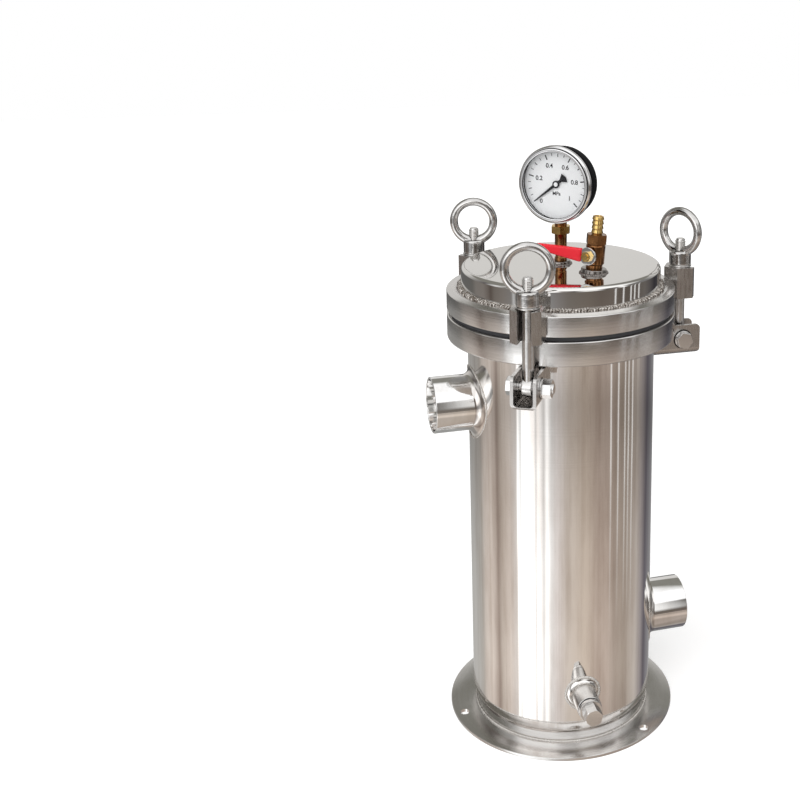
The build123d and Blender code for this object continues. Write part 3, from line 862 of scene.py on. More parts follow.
def screw_thread():
    """Screw thread: a ridge of triangular section swept along a helix and added to the object."""
    t = Tree("screw_thread", Pitch=0.00175, Turns=20.0, Root_Radius=0.005, Depth=0.0008)
    helix = t.node("GeometryNodeCurveSpiral", {
        "Resolution": 36, "Rotations": t.given["Turns"], "Start Radius": t.given["Root Radius"],
        "End Radius": t.given["Root Radius"], "Height": t.math("MULTIPLY", t.given["Pitch"], t.given["Turns"])})
    section = t.node("GeometryNodeCurvePrimitiveCircle", {"Resolution": 4, "Radius": t.given["Depth"]})
    upright = t.node("GeometryNodeSetCurveNormal", {"Curve": helix.outputs[0]}, mode="Z_UP")
    ridge = t.node("GeometryNodeCurveToMesh", {"Curve": upright.outputs[0], "Profile Curve": section.outputs[0],
                                               "Fill Caps": True})
    flat = t.node("GeometryNodeSetShadeSmooth", {"Geometry": ridge.outputs[0], "Shade Smooth": False})
    both = t.node("GeometryNodeJoinGeometry", {0: t.given["Geometry"]})
    t.tree.links.new(flat.outputs[0], both.inputs[0])
    return t.close(both.outputs[0])


def dial_scale():
    """Dial scale: the object's mark repeated round an arc."""
    t = Tree("dial_scale", Marks=21, Start=0.0, Sweep=1.0, Radius=0.03)
    row = t.node("GeometryNodeMeshLine", {"Count": t.given["Marks"]}, mode="OFFSET")
    index = t.node("GeometryNodeInputIndex").outputs[0]
    share = t.math("DIVIDE", index, t.math("SUBTRACT", t.given["Marks"], 1.0))
    angle = t.math("SUBTRACT", t.given["Start"], t.math("MULTIPLY", share, t.given["Sweep"]))
    spread = t.node("GeometryNodeSetPosition", {"Geometry": row.outputs[0],
                                                "Position": t.rolled(angle, t.given["Radius"])})
    return t.close(t.laid(spread.outputs[0], t.given["Geometry"], Rotation=t.spot(z=angle)))


def perforated_sheet():
    """Perforated sheet: the object's tile repeated in a grid and rolled into a cylinder."""
    t = Tree("perforated_sheet", Columns=80, Rows=45, Radius=0.078, Height=0.27, Bottom=0.058)

    def between(total, count):
        """Length from the first tile's middle to the last one's."""
        return t.math("MULTIPLY", total, t.math("DIVIDE", t.math("SUBTRACT", count, 1.0), count))

    girth = t.math("MULTIPLY", t.given["Radius"], 2 * math.pi)
    grid = t.node("GeometryNodeMeshGrid", {
        "Size X": between(girth, t.given["Columns"]), "Size Y": between(t.given["Height"], t.given["Rows"]),
        "Vertices X": t.given["Columns"], "Vertices Y": t.given["Rows"]})
    laid = t.laid(grid.outputs["Mesh"], t.given["Geometry"])
    real = t.node("GeometryNodeRealizeInstances", {"Geometry": laid})
    x, y, z = t.parts(t.node("GeometryNodeInputPosition").outputs[0])
    middle = t.math("ADD", t.given["Bottom"], t.math("MULTIPLY", t.given["Height"], 0.5))
    rolled = t.rolled(t.math("DIVIDE", x, t.given["Radius"]), t.math("ADD", t.given["Radius"], z),
                      t.math("ADD", y, middle))
    bent = t.node("GeometryNodeSetPosition", {"Geometry": real.outputs[0], "Position": rolled})
    joined = t.node("GeometryNodeMergeByDistance", {"Geometry": bent.outputs[0], "Distance": 0.00002})
    return t.close(joined.outputs[0])


def bead(name, points, body, width, height, spacing, seed=3, unevenness=0.15, overlap=1.6, metal="weld_metal"):
    """Weld bead along a closed line of points."""
    mesh = bpy.data.meshes.new(name)
    mesh.from_pydata(points, [(k, (k + 1) % len(points)) for k in range(len(points))], [])
    obj = linked(name, mesh)
    grown(obj, weld_bead, metal, Spacing=spacing, Width=width, Height=height, Seed=seed,
          Unevenness=unevenness, Overlap=overlap)
    settle(obj, body, "polished_steel")


# ---------------------------------------------------------------- vessel
HEAD_Z = 29.0 * MM
KNUCKLE = 25.0 * MM
SHELL_RINGS = (45, 60, 79, 130, 334, 405)       # heights of the shell's rings, above and below its openings
PORTS = (("inlet", -90.0, 369.5 * MM), ("outlet", 90.0, 95.0 * MM))
PORT_R, PORT_BORE, PORT_REACH = 30.1 * MM, 27.7 * MM, 144.0 * MM
DRAIN_R, DRAIN_BORE, DRAIN_REACH = 13.2 * MM, 8.6 * MM, 130.0 * MM
BRANCH_FOOT = 90.0 * MM                         # where a branch starts, inside the shell
CUT_FROM, CUT_TO = 50 * MM, 150 * MM            # reach of the cutters that open the shell's wall
SKIRT_BORE, SKIRT_R, SKIRT_TOP = 94.0, 97.0, 13.6    # millimetres, like the foot plate's
FOOT_R, FOOT_TOP = 127.0, 3.5
FOOT_HOLES, FOOT_HOLE_R, FOOT_HOLE_CIRCLE = (-85.5, 34.5, 154.5), 5 * MM, 116.8 * MM
LEDGE_LOW, LEDGE_TOP = 326 * MM, 331 * MM


def knuckle(radius, angles):
    """Rounded edge of the head, by degrees from its lowest point."""
    return [(SHELL_R - KNUCKLE + radius * math.sin(math.radians(a)), HEAD_Z - radius * math.cos(math.radians(a)))
            for a in angles]


def build_vessel():
    heights = [HEAD_Z] + [z * MM for z in SHELL_RINGS] + [FLANGE_TOP - 2.0 * MM]
    openings = [(PORT_R, azimuth, z) for _, azimuth, z in PORTS] + [(DRAIN_R, DRAIN_AZIMUTH, DRAIN_Z)]
    turned_piece("shell_wall", [(SHELL_R, z) for z in heights] + [(INNER_R, z) for z in reversed(heights)],
                 "housing", "mirror_steel", "polished_steel", ("shell",), 256, angle=40,
                 cutters=[rod(r, CUT_FROM, CUT_TO, outward(azimuth, 0, z)) for r, azimuth, z in openings])
    small = KNUCKLE - WALL
    turned_piece("dished_head", [(0, HEAD_Z - KNUCKLE)] + knuckle(KNUCKLE, range(0, 91, 5))
                 + knuckle(small, range(90, -1, -5)) + [(0, HEAD_Z - small)],
                 "housing", "mirror_steel", "polished_steel", ("bottom_head",), 256, angle=40)
    skirt = mm((SKIRT_BORE, FOOT_TOP), (SKIRT_R, FOOT_TOP), (SKIRT_R, SKIRT_TOP), (SKIRT_BORE, SKIRT_TOP))
    turned_piece("skirt", skirt, "housing", "turned_steel", "polished_steel", ("skirt_ring",), angle=40)
    foot = eased(mm((SKIRT_BORE, 0), (FOOT_R, 0), (FOOT_R, FOOT_TOP), (SKIRT_BORE, FOOT_TOP)), 0.6 * MM, 3)
    turned_piece("foot_plate", foot, "housing", "turned_steel", "machined_steel", ("base_ring",), 256, angle=40,
                 cutters=[rod(FOOT_HOLE_R, -5 * MM, 10 * MM, outward(a, FOOT_HOLE_CIRCLE, 0) @ spun(-90, "X"), 48)
                          for a in FOOT_HOLES])
    bead("head_seam", circle(SHELL_R - 0.2 * MM, HEAD_Z, 512), "housing", 1.0 * MM, 1.0 * MM, 1.3 * MM)
    bead("skirt_weld", circle(98 * MM, 4 * MM, 384), "housing", 2.4 * MM, 1.2 * MM, 1.7 * MM)
    turned_piece("seat_ledge", tube(INNER_R, 81 * MM, LEDGE_LOW, LEDGE_TOP, 0.4 * MM),
                 "housing", "satin_steel", "satin_steel", ("basket_seat",), angle=40)


def on_shell(radius, k, count, lift):
    """Place on the line where a cylinder of this radius meets the shell, in the branch's own frame."""
    phi = 2 * math.pi * k / count
    x, y = radius * math.cos(phi), radius * math.sin(phi)
    return Vector((x, y, math.sqrt(SHELL_R ** 2 - x ** 2) + lift))


def flare(name, node, place, neck, width, rise, segments=144, steps=8):
    """Pulled collar between the round shell and a branch of radius neck."""
    below = -1.2 * MM
    rows = [(neck + width * (1 - math.cos(t)), rise * (1 - math.sin(t)))
            for t in (0.5 * math.pi * k / steps for k in range(steps + 1))]
    rows += [(neck + width * 0.9, below), (neck - 0.4 * MM, below)]
    bm = bmesh.new()
    skinned(bm, [[bm.verts.new(on_shell(r, k, segments, lift)) for k in range(segments)] for r, lift in rows])
    bmesh.ops.transform(bm, matrix=place, verts=bm.verts)
    finish_piece(name, bm, "housing", "mirror_steel", "polished_steel", (node,), 50)


def saddle_line(place, radius, lift, count=240):
    """Line along which a weld runs round a branch."""
    return [place @ on_shell(radius, k, count, lift) for k in range(count)]


def branch(radius, bore, reach, rim):
    """Outline of a branch, with its rim rounded outside."""
    return eased([(bore, BRANCH_FOOT, 0), (radius, BRANCH_FOOT, 0), (radius, reach, rim),
                  (bore, reach, 0.5 * MM)], 0.5 * MM)


def build_ports():
    collar = 9.0 * MM
    for name, azimuth, height in PORTS:
        place = outward(azimuth, 0, height)
        turned_piece(name + "_spool", branch(PORT_R, PORT_BORE, PORT_REACH, 0.7 * MM), "housing", "pipe_steel",
                     "polished_steel", (name + "_pipe", name + "_neck"), 144, place, 40,
                     cutters=[rod(INNER_R, -100 * MM, 700 * MM, None, 256)])
        flare(name + "_flare", name + "_collar", place, PORT_R, collar, 7.0 * MM)
        bead(name + "_weld", saddle_line(place, PORT_R + collar, 0.0), "housing",
             2.6 * MM, 0.8 * MM, 1.6 * MM, seed=5)

    place = outward(DRAIN_AZIMUTH, 0, DRAIN_Z)
    turned_piece("drain_boss", branch(DRAIN_R, DRAIN_BORE, DRAIN_REACH, 0.8 * MM), "housing", "turned_steel",
                 "polished_steel", ("drain_socket",), 96, place, 40)
    flare("drain_flare", "drain_collar", place, DRAIN_R, 5.6 * MM, 4.5 * MM, 96)
    bead("drain_weld", saddle_line(place, DRAIN_R + 5.2 * MM, 0.2 * MM, 120), "housing",
         3.4 * MM, 1.4 * MM, 1.5 * MM, seed=8)

    seat = DRAIN_REACH + 0.02 * MM
    turned_piece("sealing_washer", tube(12.2 * MM, 8.4 * MM, seat, seat + 1.6 * MM, 0.3 * MM), "plug_washer",
                 "seal_rubber", "seal_rubber", ("drain_washer",), 72, place)
    bm = bmesh.new()
    low, top = 131.64, 135.64       # the plug's collar, which lies on the washer
    lathe(bm, eased(mm((0, 116, 0), (8.2, 116, 1.0), (8.2, low, 0), (12.4, low, 0.4), (12.4, top, 0.6),
                       (0, top, 0)), 0.4 * MM), 96, place)
    hex_prism(bm, sizes().plug_hexagon, (top - 0.1) * MM, (low + 17) * MM, place, 15)
    finish_piece("hex_plug", bm, "plug", "turned_steel", "polished_steel", ("drain_plug",), 30, recalc=False)


def build_flanges():
    step = FLANGE_TOP - 2 * MM      # the flange is bored down to the top of the shell wall
    vessel = eased([(SHELL_R, FLANGE_LOW, 0), (FLANGE_R, FLANGE_LOW, 1.6 * MM), (FLANGE_R, FLANGE_TOP, 1.3 * MM),
                    (INNER_R, FLANGE_TOP, 0.4 * MM), (INNER_R, step, 0), (SHELL_R, step, 0)], 0.5 * MM, 5)
    turned_piece("vessel_flange", vessel, "housing", "turned_steel", "machined_steel", ("body_flange",), 256,
                 angle=40)
    turned_piece("flange_seal", tube(118.5 * MM, 102 * MM, FLANGE_TOP, LID_LOW - 0.02 * MM, 0.8 * MM), "housing",
                 "seal_rubber", "seal_rubber", ("seal_ring",))
    cover = eased([(INNER_R, LID_LOW, 0.4 * MM), (FLANGE_R, LID_LOW, 1.3 * MM),
                   (FLANGE_R, LID_TOP - 1.4 * MM, 1.2 * MM), (114.5 * MM, LID_TOP, 3 * MM),
                   (INNER_R, LID_TOP, 0)], 0.5 * MM, 5)
    turned_piece("cover_flange", cover, "lid", "turned_steel", "machined_steel", ("lid_flange",), 256, angle=40)
    wall = 4.0 * MM
    cap = eased([(CAP_R - wall, LID_TOP, 0), (CAP_R, LID_TOP, 0), (CAP_R, CAP_TOP, 4.5 * MM), (0, CAP_TOP, 0),
                 (0, CAP_TOP - wall, 0), (CAP_R - wall, CAP_TOP - wall, 2 * MM)], 1 * MM, 10)
    turned_piece("cover_cap", cap, "lid", "cover_steel", "polished_steel", ("lid_cap",), 256, angle=50)
    bead("cap_weld", circle(CAP_R + 0.6 * MM, LID_TOP + 0.4 * MM, 720), "lid", sizes().weld_width,
         sizes().weld_height, sizes().weld_pitch, seed=11, unevenness=0.28, overlap=1.35, metal="scorched_weld")


# ---------------------------------------------------------------- closures
HUB_Z, EYE_Z = 504.74 * MM, 541.24 * MM         # underside of the eye nut, and the middle of its eye
EYE_R, EYE_BORE, THREAD_CORE = 22.4 * MM, 6.05 * MM, 4.9 * MM


def build_closures():
    for name, node in (("fork_pins", "pin_bolts"), ("fork_nuts", "pin_nuts")):
        from_solid(name, node, "housing", "zinc_steel", "machined_steel", 0.6 * MM)
    for number, azimuth in enumerate(BOLT_AZIMUTHS, 1):
        clevis = "clevis_bracket_%d" % number
        steel = plate_steel("fork_steel_%d" % number, azimuth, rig.box(clevis)[0].z + 3.4 * MM)
        from_solid("fork_%d" % number, clevis, "housing", steel.name, "polished_steel", 0.6 * MM)
        from_solid("ear_%d" % number, "lid_lug_%d" % number, "lid", "plate_steel", "machined_steel", 0.7 * MM)
        build_swing_bolt(number, azimuth)
        build_eye_nut(number, azimuth)


def build_swing_bolt(number, azimuth):
    pin = outward(azimuth, BOLT_CIRCLE, PIN_Z)
    up = shifted(pin.translation.x, pin.translation.y, 0)
    body = "bolt_%d" % number
    bm = bmesh.new()
    lathe(bm, tube(9.3 * MM, 5.05 * MM, -5.25 * MM, 5.25 * MM, 0.8 * MM), 72, pin @ spun(90, "Y"))
    foot, core = PIN_Z / MM + 6.5, THREAD_CORE / MM
    lathe(bm, eased(mm((0, foot, 0), (5.95, foot, 0), (5.95, 499.0, 0.3), (core, 500.2, 0.2), (core, 531.5, 0.5),
                       (4.2, 533.5, 0.3), (0, 533.5, 0)), 0.3 * MM), 48, up)
    bolt = finish_piece("eye_bolt_%d" % number, bm, body, "turned_steel", "polished_steel")
    # the ridge is grown round the z axis, then the whole bolt is carried to its place
    away = up.inverted() @ shifted(0, 0, -500 * MM)
    bolt.data.transform(away)
    grown(bolt, screw_thread, "turned_steel", Pitch=1.75 * MM, Turns=sizes().thread_turns,
          Root_Radius=THREAD_CORE, Depth=sizes().thread_depth)
    bolt.data.transform(away.inverted())
    settle(bolt, body, "polished_steel", ("swing_bolt_%d" % number,))
    turned_piece("flat_washer_%d" % number, tube(12.6 * MM, EYE_BORE, 502.92 * MM, 504.72 * MM, 0.5 * MM),
                 "nut_washer_%d" % number, "turned_steel", "polished_steel", ("washer_%d" % number,), 72, up)


def build_eye_nut(number, azimuth):
    spot = outward(azimuth, BOLT_CIRCLE, 0).translation
    up = shifted(spot.x, spot.y, 0)
    bm = bmesh.new()
    hub = mm((0, 0), (11.5, 0), (12.0, 0.7), (12.0, 13.6), (10.9, 15.4), (0, 15.4))
    lathe(bm, hub, 72, up @ shifted(0, 0, HUB_Z))
    # the eye is a ring that thickens towards the hub
    turn = math.radians(EYE_AZIMUTHS[number - 1])
    tangent, normal = Vector((math.cos(turn), math.sin(turn), 0)), Vector((-math.sin(turn), math.cos(turn), 0))
    middle = Vector((spot.x, spot.y, EYE_Z))
    around, across = 96, 24
    rings = []
    for i in range(around):
        a = 2 * math.pi * i / around
        way = tangent * math.cos(a) + Vector((0, 0, 1)) * math.sin(a)
        thick = (4.6 + 0.9 * max(0.0, -math.sin(a)) ** 3) * MM
        rings.append([bm.verts.new(middle + way * EYE_R + (way * math.cos(b) + normal * math.sin(b)) * thick)
                      for b in (2 * math.pi * j / across for j in range(across))])
    skinned(bm, rings)
    bmesh.ops.remove_doubles(bm, verts=bm.verts, dist=JOINED)
    bmesh.ops.recalc_face_normals(bm, faces=bm.faces)
    nut = stored("eye_lifting_nut_%d" % number, bm)
    mod = nut.modifiers.new("blend", "REMESH")
    mod.mode, mod.voxel_size = "VOXEL", (0.8 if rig.quick() else 0.5) * MM
    mod.use_smooth_shade = True
    mod = nut.modifiers.new("soften", "SMOOTH")
    mod.factor, mod.iterations = 0.5, 5
    baked(nut)
    drilled(nut, [rod(EYE_BORE, 495 * MM, 536.5 * MM, up, 48)])
    dress(nut, "forged_steel", 50)
    settle(nut, "lifting_nut_%d" % number, "polished_steel", ("eye_nut_%d" % number,))


# ---------------------------------------------------------------- pressure gauge
DIAL_START, DIAL_SWEEP = math.radians(218.0), math.radians(262.0)
# radii and depths of the gauge in millimetres
CASE_R, GLASS_R, CASE_FRONT = 38.2, 36.8, 13
DIAL_FACE, DIAL_BACK, GLASS_BACK, GLASS_FACE = 11, 10, 16.2, 18
SHANK_R, NECK_R = 6.6, 6.5
INK_DEPTH = 0.04 * MM


def build_gauge():
    face = outward(GAUGE_AZIMUTH, 0, GAUGE_Z)
    on_dial = face @ shifted(0, 0, DIAL_FACE * MM)
    boss = 3.5 * MM
    socket = eased([(SHANK_R * MM, CAP_TOP, 0), (11 * MM, CAP_TOP, 0), (10.6 * MM, CAP_TOP + boss, 1.2 * MM),
                    (SHANK_R * MM, CAP_TOP + boss, 0.4 * MM)], 0.5 * MM)
    # the socket's dark finish is a painted dark reflection
    turned_piece("gauge_socket", socket, "lid", "burnt_steel", "polished_steel", ("gauge_boss",), 96)
    bead("gauge_socket_weld", circle(11.2 * MM, CAP_TOP + 0.2 * MM, 90), "lid", 2.6 * MM, 1.0 * MM, 1.4 * MM,
         metal="burnt_steel")
    shank = mm((0, 508, 0), (SHANK_R, 508, 0.6), (SHANK_R, 521.5, 0.3), (5.8, 522.5, 0.3), (5.8, 524.0, 0.3),
               (NECK_R, 525, 0.3), (NECK_R, 593, 0), (0, 593, 0))
    turned_piece("gauge_shank", eased(shank, 0.3 * MM), "lid", "bronze_metal", "brass", ("gauge_stem",), 72,
                 angle=30, recalc=False)
    hex_piece("gauge_hexagon", 19 * MM, 548 * MM, 556 * MM, Matrix(), 10, "lid", "brass_metal", "brass")

    # black case, then the polished bezel with its double lip
    shell = mm((0, -10, 0), (CASE_R, -10, 2.4), (CASE_R, CASE_FRONT, 0.2), (GLASS_R, CASE_FRONT, 0.2),
               (GLASS_R, -8.6, 1.5), (0, -8.6, 0))
    turned_piece("gauge_shell", eased(shell, 1 * MM, 6), "lid", "black_enamel", "black_case", ("gauge_case",),
                 144, face, 40)
    rim = mm((CASE_R, 9, 0.2), (41, 9, 0.8), (41, 16.4, 1.1), (39.4, 17.6, 0.5), (38.7, 17.9, 0.4),
             (38.3, 20, 0.9), (35.2, 20, 0.9), (35.2, GLASS_FACE, 0.1), (GLASS_R, GLASS_FACE, 0),
             (GLASS_R, CASE_FRONT, 0), (CASE_R, CASE_FRONT, 0))
    turned_piece("gauge_rim", eased(rim, 0.3 * MM, 5), "lid", "bezel_metal", "chrome_trim", ("gauge_bezel",),
                 192, face, 40)
    turned_piece("gauge_window", round_bar(GLASS_R * MM, GLASS_BACK * MM, GLASS_FACE * MM), "lid", "window_glass",
                 "gauge_glass", ("gauge_glass",), 144, face, 30)
    turned_piece("gauge_dial_plate", round_bar(GLASS_R * MM, DIAL_BACK * MM, DIAL_FACE * MM), "lid", "dial_white",
                 "white_dial", ("gauge_dial",), 144, face, 30)

    for name, count, length, width, radius in (("scale_fine", sizes().fine_marks, 3.0, 0.6, 31.2),
                                               ("scale_half", 11, 3.8, 0.8, 30.8),
                                               ("scale_main", 6, 5.6, 1.2, 29.9)):
        bm = bmesh.new()
        a, b = length / 2, width / 2
        prism(bm, mm((-a, -b), (a, -b), (a, b), (-a, b)), 0.0, 0.08 * MM)
        obj = stored(name, bm)
        grown(obj, dial_scale, "dial_ink", Marks=count, Start=DIAL_START, Sweep=DIAL_SWEEP, Radius=radius * MM)
        obj.data.transform(on_dial)
        settle(obj, "lid", "black_hand")

    bm = bmesh.new()
    for k, text in enumerate(("0", "0.2", "0.4", "0.6", "0.8", "1")):
        a, reach = DIAL_START - DIAL_SWEEP * k / 5, 20.6 * MM
        if k == 0:      # beside the needle at rest, not under it
            a, reach = a + math.radians(9.5), 26.0 * MM
        lettering(bm, text, sizes().number_height, reach * math.cos(a), reach * math.sin(a), on_dial)
    lettering(bm, "MPa", 5.4 * MM, 0, -10.0 * MM, on_dial)
    numbers = stored("scale_numbers", bm)
    numbers.data.materials.append(finish("dial_ink"))
    settle(numbers, "lid", "black_hand")

    spin = face @ shifted(0, 0, 12.2 * MM) @ Matrix.Rotation(DIAL_START, 4, "Z")
    bm = bmesh.new()
    prism(bm, mm((29.5, 0.45), (29.5, -0.45), (0, -1.7), (0, 1.7)), 0, 0.7 * MM, spin)
    prism(bm, mm((0, 1.7), (-7.0, 1.5), (-12.2, 5.2), (-14, 0), (-12.2, -5.2), (-7.0, -1.5), (0, -1.7)),
          0, 0.7 * MM, spin)
    lathe(bm, eased(mm((0, 0, 0), (3.9, 0, 0), (3.9, 1.0, 0.3), (0, 1.0, 0)), 0.3 * MM), 48, spin)
    finish_piece("gauge_needle", bm, "gauge_hand", "dial_ink", "black_hand", ("gauge_pointer",), 30)
    cap = eased(mm((0, 1.0, 0), (2.3, 1.0, 0), (2.1, 1.5, 0.2), (0.8, 1.6, 0), (0, 1.3, 0)), 0.1 * MM)
    turned_piece("needle_cap", cap, "gauge_hand", "dial_white", "black_hand", (), 48, spin, 30)
    for node in ("gauge_movement", "gauge_spindle"):
        frame["nodes"][node].material_slots[0].material = finish("brass_metal")


def lettering(bm, text, size, x, y, place):
    """Add printed characters to a bmesh, a hair proud of a face."""
    curve = bpy.data.curves.new("text", "FONT")
    curve.body, curve.size, curve.extrude, curve.offset = text, size, INK_DEPTH, 0.02 * size
    curve.align_x, curve.align_y = "CENTER", "CENTER"
    holder = linked("text", curve)
    bpy.context.view_layer.update()
    graph = bpy.context.evaluated_depsgraph_get()
    mesh = bpy.data.meshes.new_from_object(holder.evaluated_get(graph))
    bpy.data.curves.remove(curve)
    mesh.transform(place @ shifted(x, y, 0.05 * MM))
    bm.from_mesh(mesh)
    bpy.data.meshes.remove(mesh)


# ---------------------------------------------------------------- vent valve
NOZZLE_LOW, NOZZLE_HIGH, NOZZLE_BORE, NOZZLE_R = 41.0 * MM, 60.0 * MM, 4.0 * MM, 5.4 * MM


def build_vent():
    root = vent_frame()
    spot = root.translation
    across = root @ shifted(0, 0, 20 * MM) @ spun(90, "X")
    socket = mm((4, -1.0, 0), (13.6, -1.0, 0), (13.4, 5, 1.3), (4, 5, 0.3))
    # the socket's dark finish is a painted dark reflection
    turned_piece("vent_socket", eased(socket, 0.6 * MM), "lid", "burnt_steel", "polished_steel", ("vent_boss",),
                 96, root)
    bead("vent_socket_weld", circle(13.9 * MM, CAP_TOP + 0.3 * MM, 120, spot.x, spot.y), "lid",
         3.0 * MM, 1.2 * MM, 1.9 * MM, seed=4, unevenness=0.25, metal="burnt_steel")

    bm = bmesh.new()
    lathe(bm, eased(mm((4, 5, 0), (8.6, 5, 0.4), (8.6, 9, 0.4), (10, 10.5, 0.8), (10, 29, 1.2), (8.8, 31, 0.6),
                       (4, 31, 0.3)), 0.5 * MM), 96, root)
    lathe(bm, eased(mm((3.05, 6, 0), (6.2, 6, 0), (6.2, 14.6, 0.7), (3.05, 14.6, 0.4)), 0.5 * MM), 60, across)
    finish_piece("vent_barrel", bm, "lid", "bronze_metal", "brass", ("vent_body",))
    frame["nodes"]["vent_ball"].material_slots[0].material = finish("chrome_metal")

    hex_piece("vent_collar", 19.5 * MM, 31 * MM, NOZZLE_LOW, root, 5, "lid", "bronze_metal", "brass")
    foot = NOZZLE_LOW - 0.2 * MM
    profile = [(NOZZLE_BORE, foot), (NOZZLE_R, foot)]
    pitch = (NOZZLE_HIGH - NOZZLE_LOW) / sizes().nozzle_ribs
    for k in range(sizes().nozzle_ribs):
        low = NOZZLE_LOW + k * pitch
        profile += [(NOZZLE_R, low + 0.22 * pitch), (6.3 * MM, low + 0.32 * pitch), (NOZZLE_R, low + pitch)]
    turned_piece("vent_nozzle", eased(profile + [(NOZZLE_BORE, NOZZLE_HIGH)], 0.12 * MM, 2), "lid", "brass_metal",
                 "brass", ("vent_hose_tail",), 72, root, 30, recalc=False)

    turned_piece("vent_spindle", round_bar(3 * MM, 4.6 * MM, 22.3 * MM), "vent_lever", "brass_metal", "brass",
                 ("vent_stem",), 48, across)
    from_solid("lever_blade", "lever_plate", "vent_lever", "chrome_metal", "chrome_trim", 0.4 * MM, 2, 40)
    hex_piece("lever_lock_nut", 10 * MM, 17.3 * MM, 20.9 * MM, across, 10, "vent_lever", "brass_metal",
              "chrome_trim", ("lever_nut",))
    sleeve = eased(mm((-6.8, 7.25), (-60.6, 3.25), (-61.6, 0.0), (-60.6, -3.25), (-6.8, -7.25)), 2.2 * MM, 5)
    bm = bmesh.new()
    prism(bm, sleeve, 12.9 * MM, 19.3 * MM, across)
    rim = [e for e in bm.edges if len(e.link_faces) == 2 and e.calc_face_angle(0) > math.radians(60)]
    bmesh.ops.bevel(bm, geom=rim, offset=2.0 * MM, segments=6, profile=0.5, affect="EDGES", clamp_overlap=True)
    finish_piece("lever_sleeve", bm, "vent_lever", "red_vinyl", "red_vinyl", ("lever_grip",), 60)


# ---------------------------------------------------------------- basket and bag
RIM_Z = LEDGE_TOP + 0.02 * MM                   # underside of the basket's rim
BASKET_R, BASKET_FLOOR = 77.25 * MM, 62.0 * MM
SOCK_TOP, SOCK_BOTTOM, SOCK_R, FELT = 335.3 * MM, 62.6 * MM, 74.2 * MM, 1.5 * MM


def build_insides():
    build_basket()
    turned_piece("bag_collar", tube(88 * MM, 73 * MM, 335.04 * MM, 338.04 * MM, 0.8 * MM), "bag", "ring_plastic",
                 "bag_ring_plastic", ("bag_ring",))
    build_sock()


def build_basket():
    turned_piece("basket_flange", tube(95.5 * MM, 76.5 * MM, RIM_Z, RIM_Z + 4 * MM, 0.9 * MM), "basket",
                 "satin_steel", "satin_steel", ("basket_rim",))
    coarser = 2 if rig.quick() else 1
    columns, rows = sizes().mesh_columns // coarser, sizes().mesh_rows // coarser
    height = RIM_Z - BASKET_FLOOR
    w, h = 2 * math.pi * BASKET_R / columns, height / rows
    hole, half_sheet, sides = 0.29 * w, 0.75 * MM, 16

    # one tile of the sheet: a round hole in a rectangle
    bm = bmesh.new()
    angles = [2 * math.pi * k / sides for k in range(sides)]
    edge, rim = [], []
    for level in (half_sheet, -half_sheet):
        edge.append([])
        rim.append([])
        for c, s in ((math.cos(a), math.sin(a)) for a in angles):
            m = 2 * max(abs(c), abs(s))
            edge[-1].append(bm.verts.new((c / m * w, s / m * h, level)))
            rim[-1].append(bm.verts.new((c * hole, s * hole, level)))
    for k in range(sides):
        n = (k + 1) % sides
        bm.faces.new((rim[0][k], edge[0][k], edge[0][n], rim[0][n]))
        bm.faces.new((rim[1][n], edge[1][n], edge[1][k], rim[1][k]))
        bm.faces.new((rim[0][n], rim[1][n], rim[1][k], rim[0][k]))
    tile = stored("basket_mesh", bm)
    grown(tile, perforated_sheet, "satin_steel", Columns=columns, Rows=rows, Radius=BASKET_R, Height=height,
          Bottom=BASKET_FLOOR)
    dress(tile, "satin_steel", 40)
    settle(tile, "basket", "satin_steel", ("basket_wall",))
    pan = mm((0, 58, 0), (78, 58, 2.5), (78, 62.3, 0), (76.4, 62.3, 0), (76.4, 59.6, 1.2), (0, 59.6, 0))
    turned_piece("basket_floor", eased(pan, 1 * MM, 5), "basket", "satin_steel", "satin_steel", ("basket_base",))
    from_solid("basket_bails", "basket_grips", "basket", "satin_steel", "satin_steel", 0.1 * MM, 1, 60)


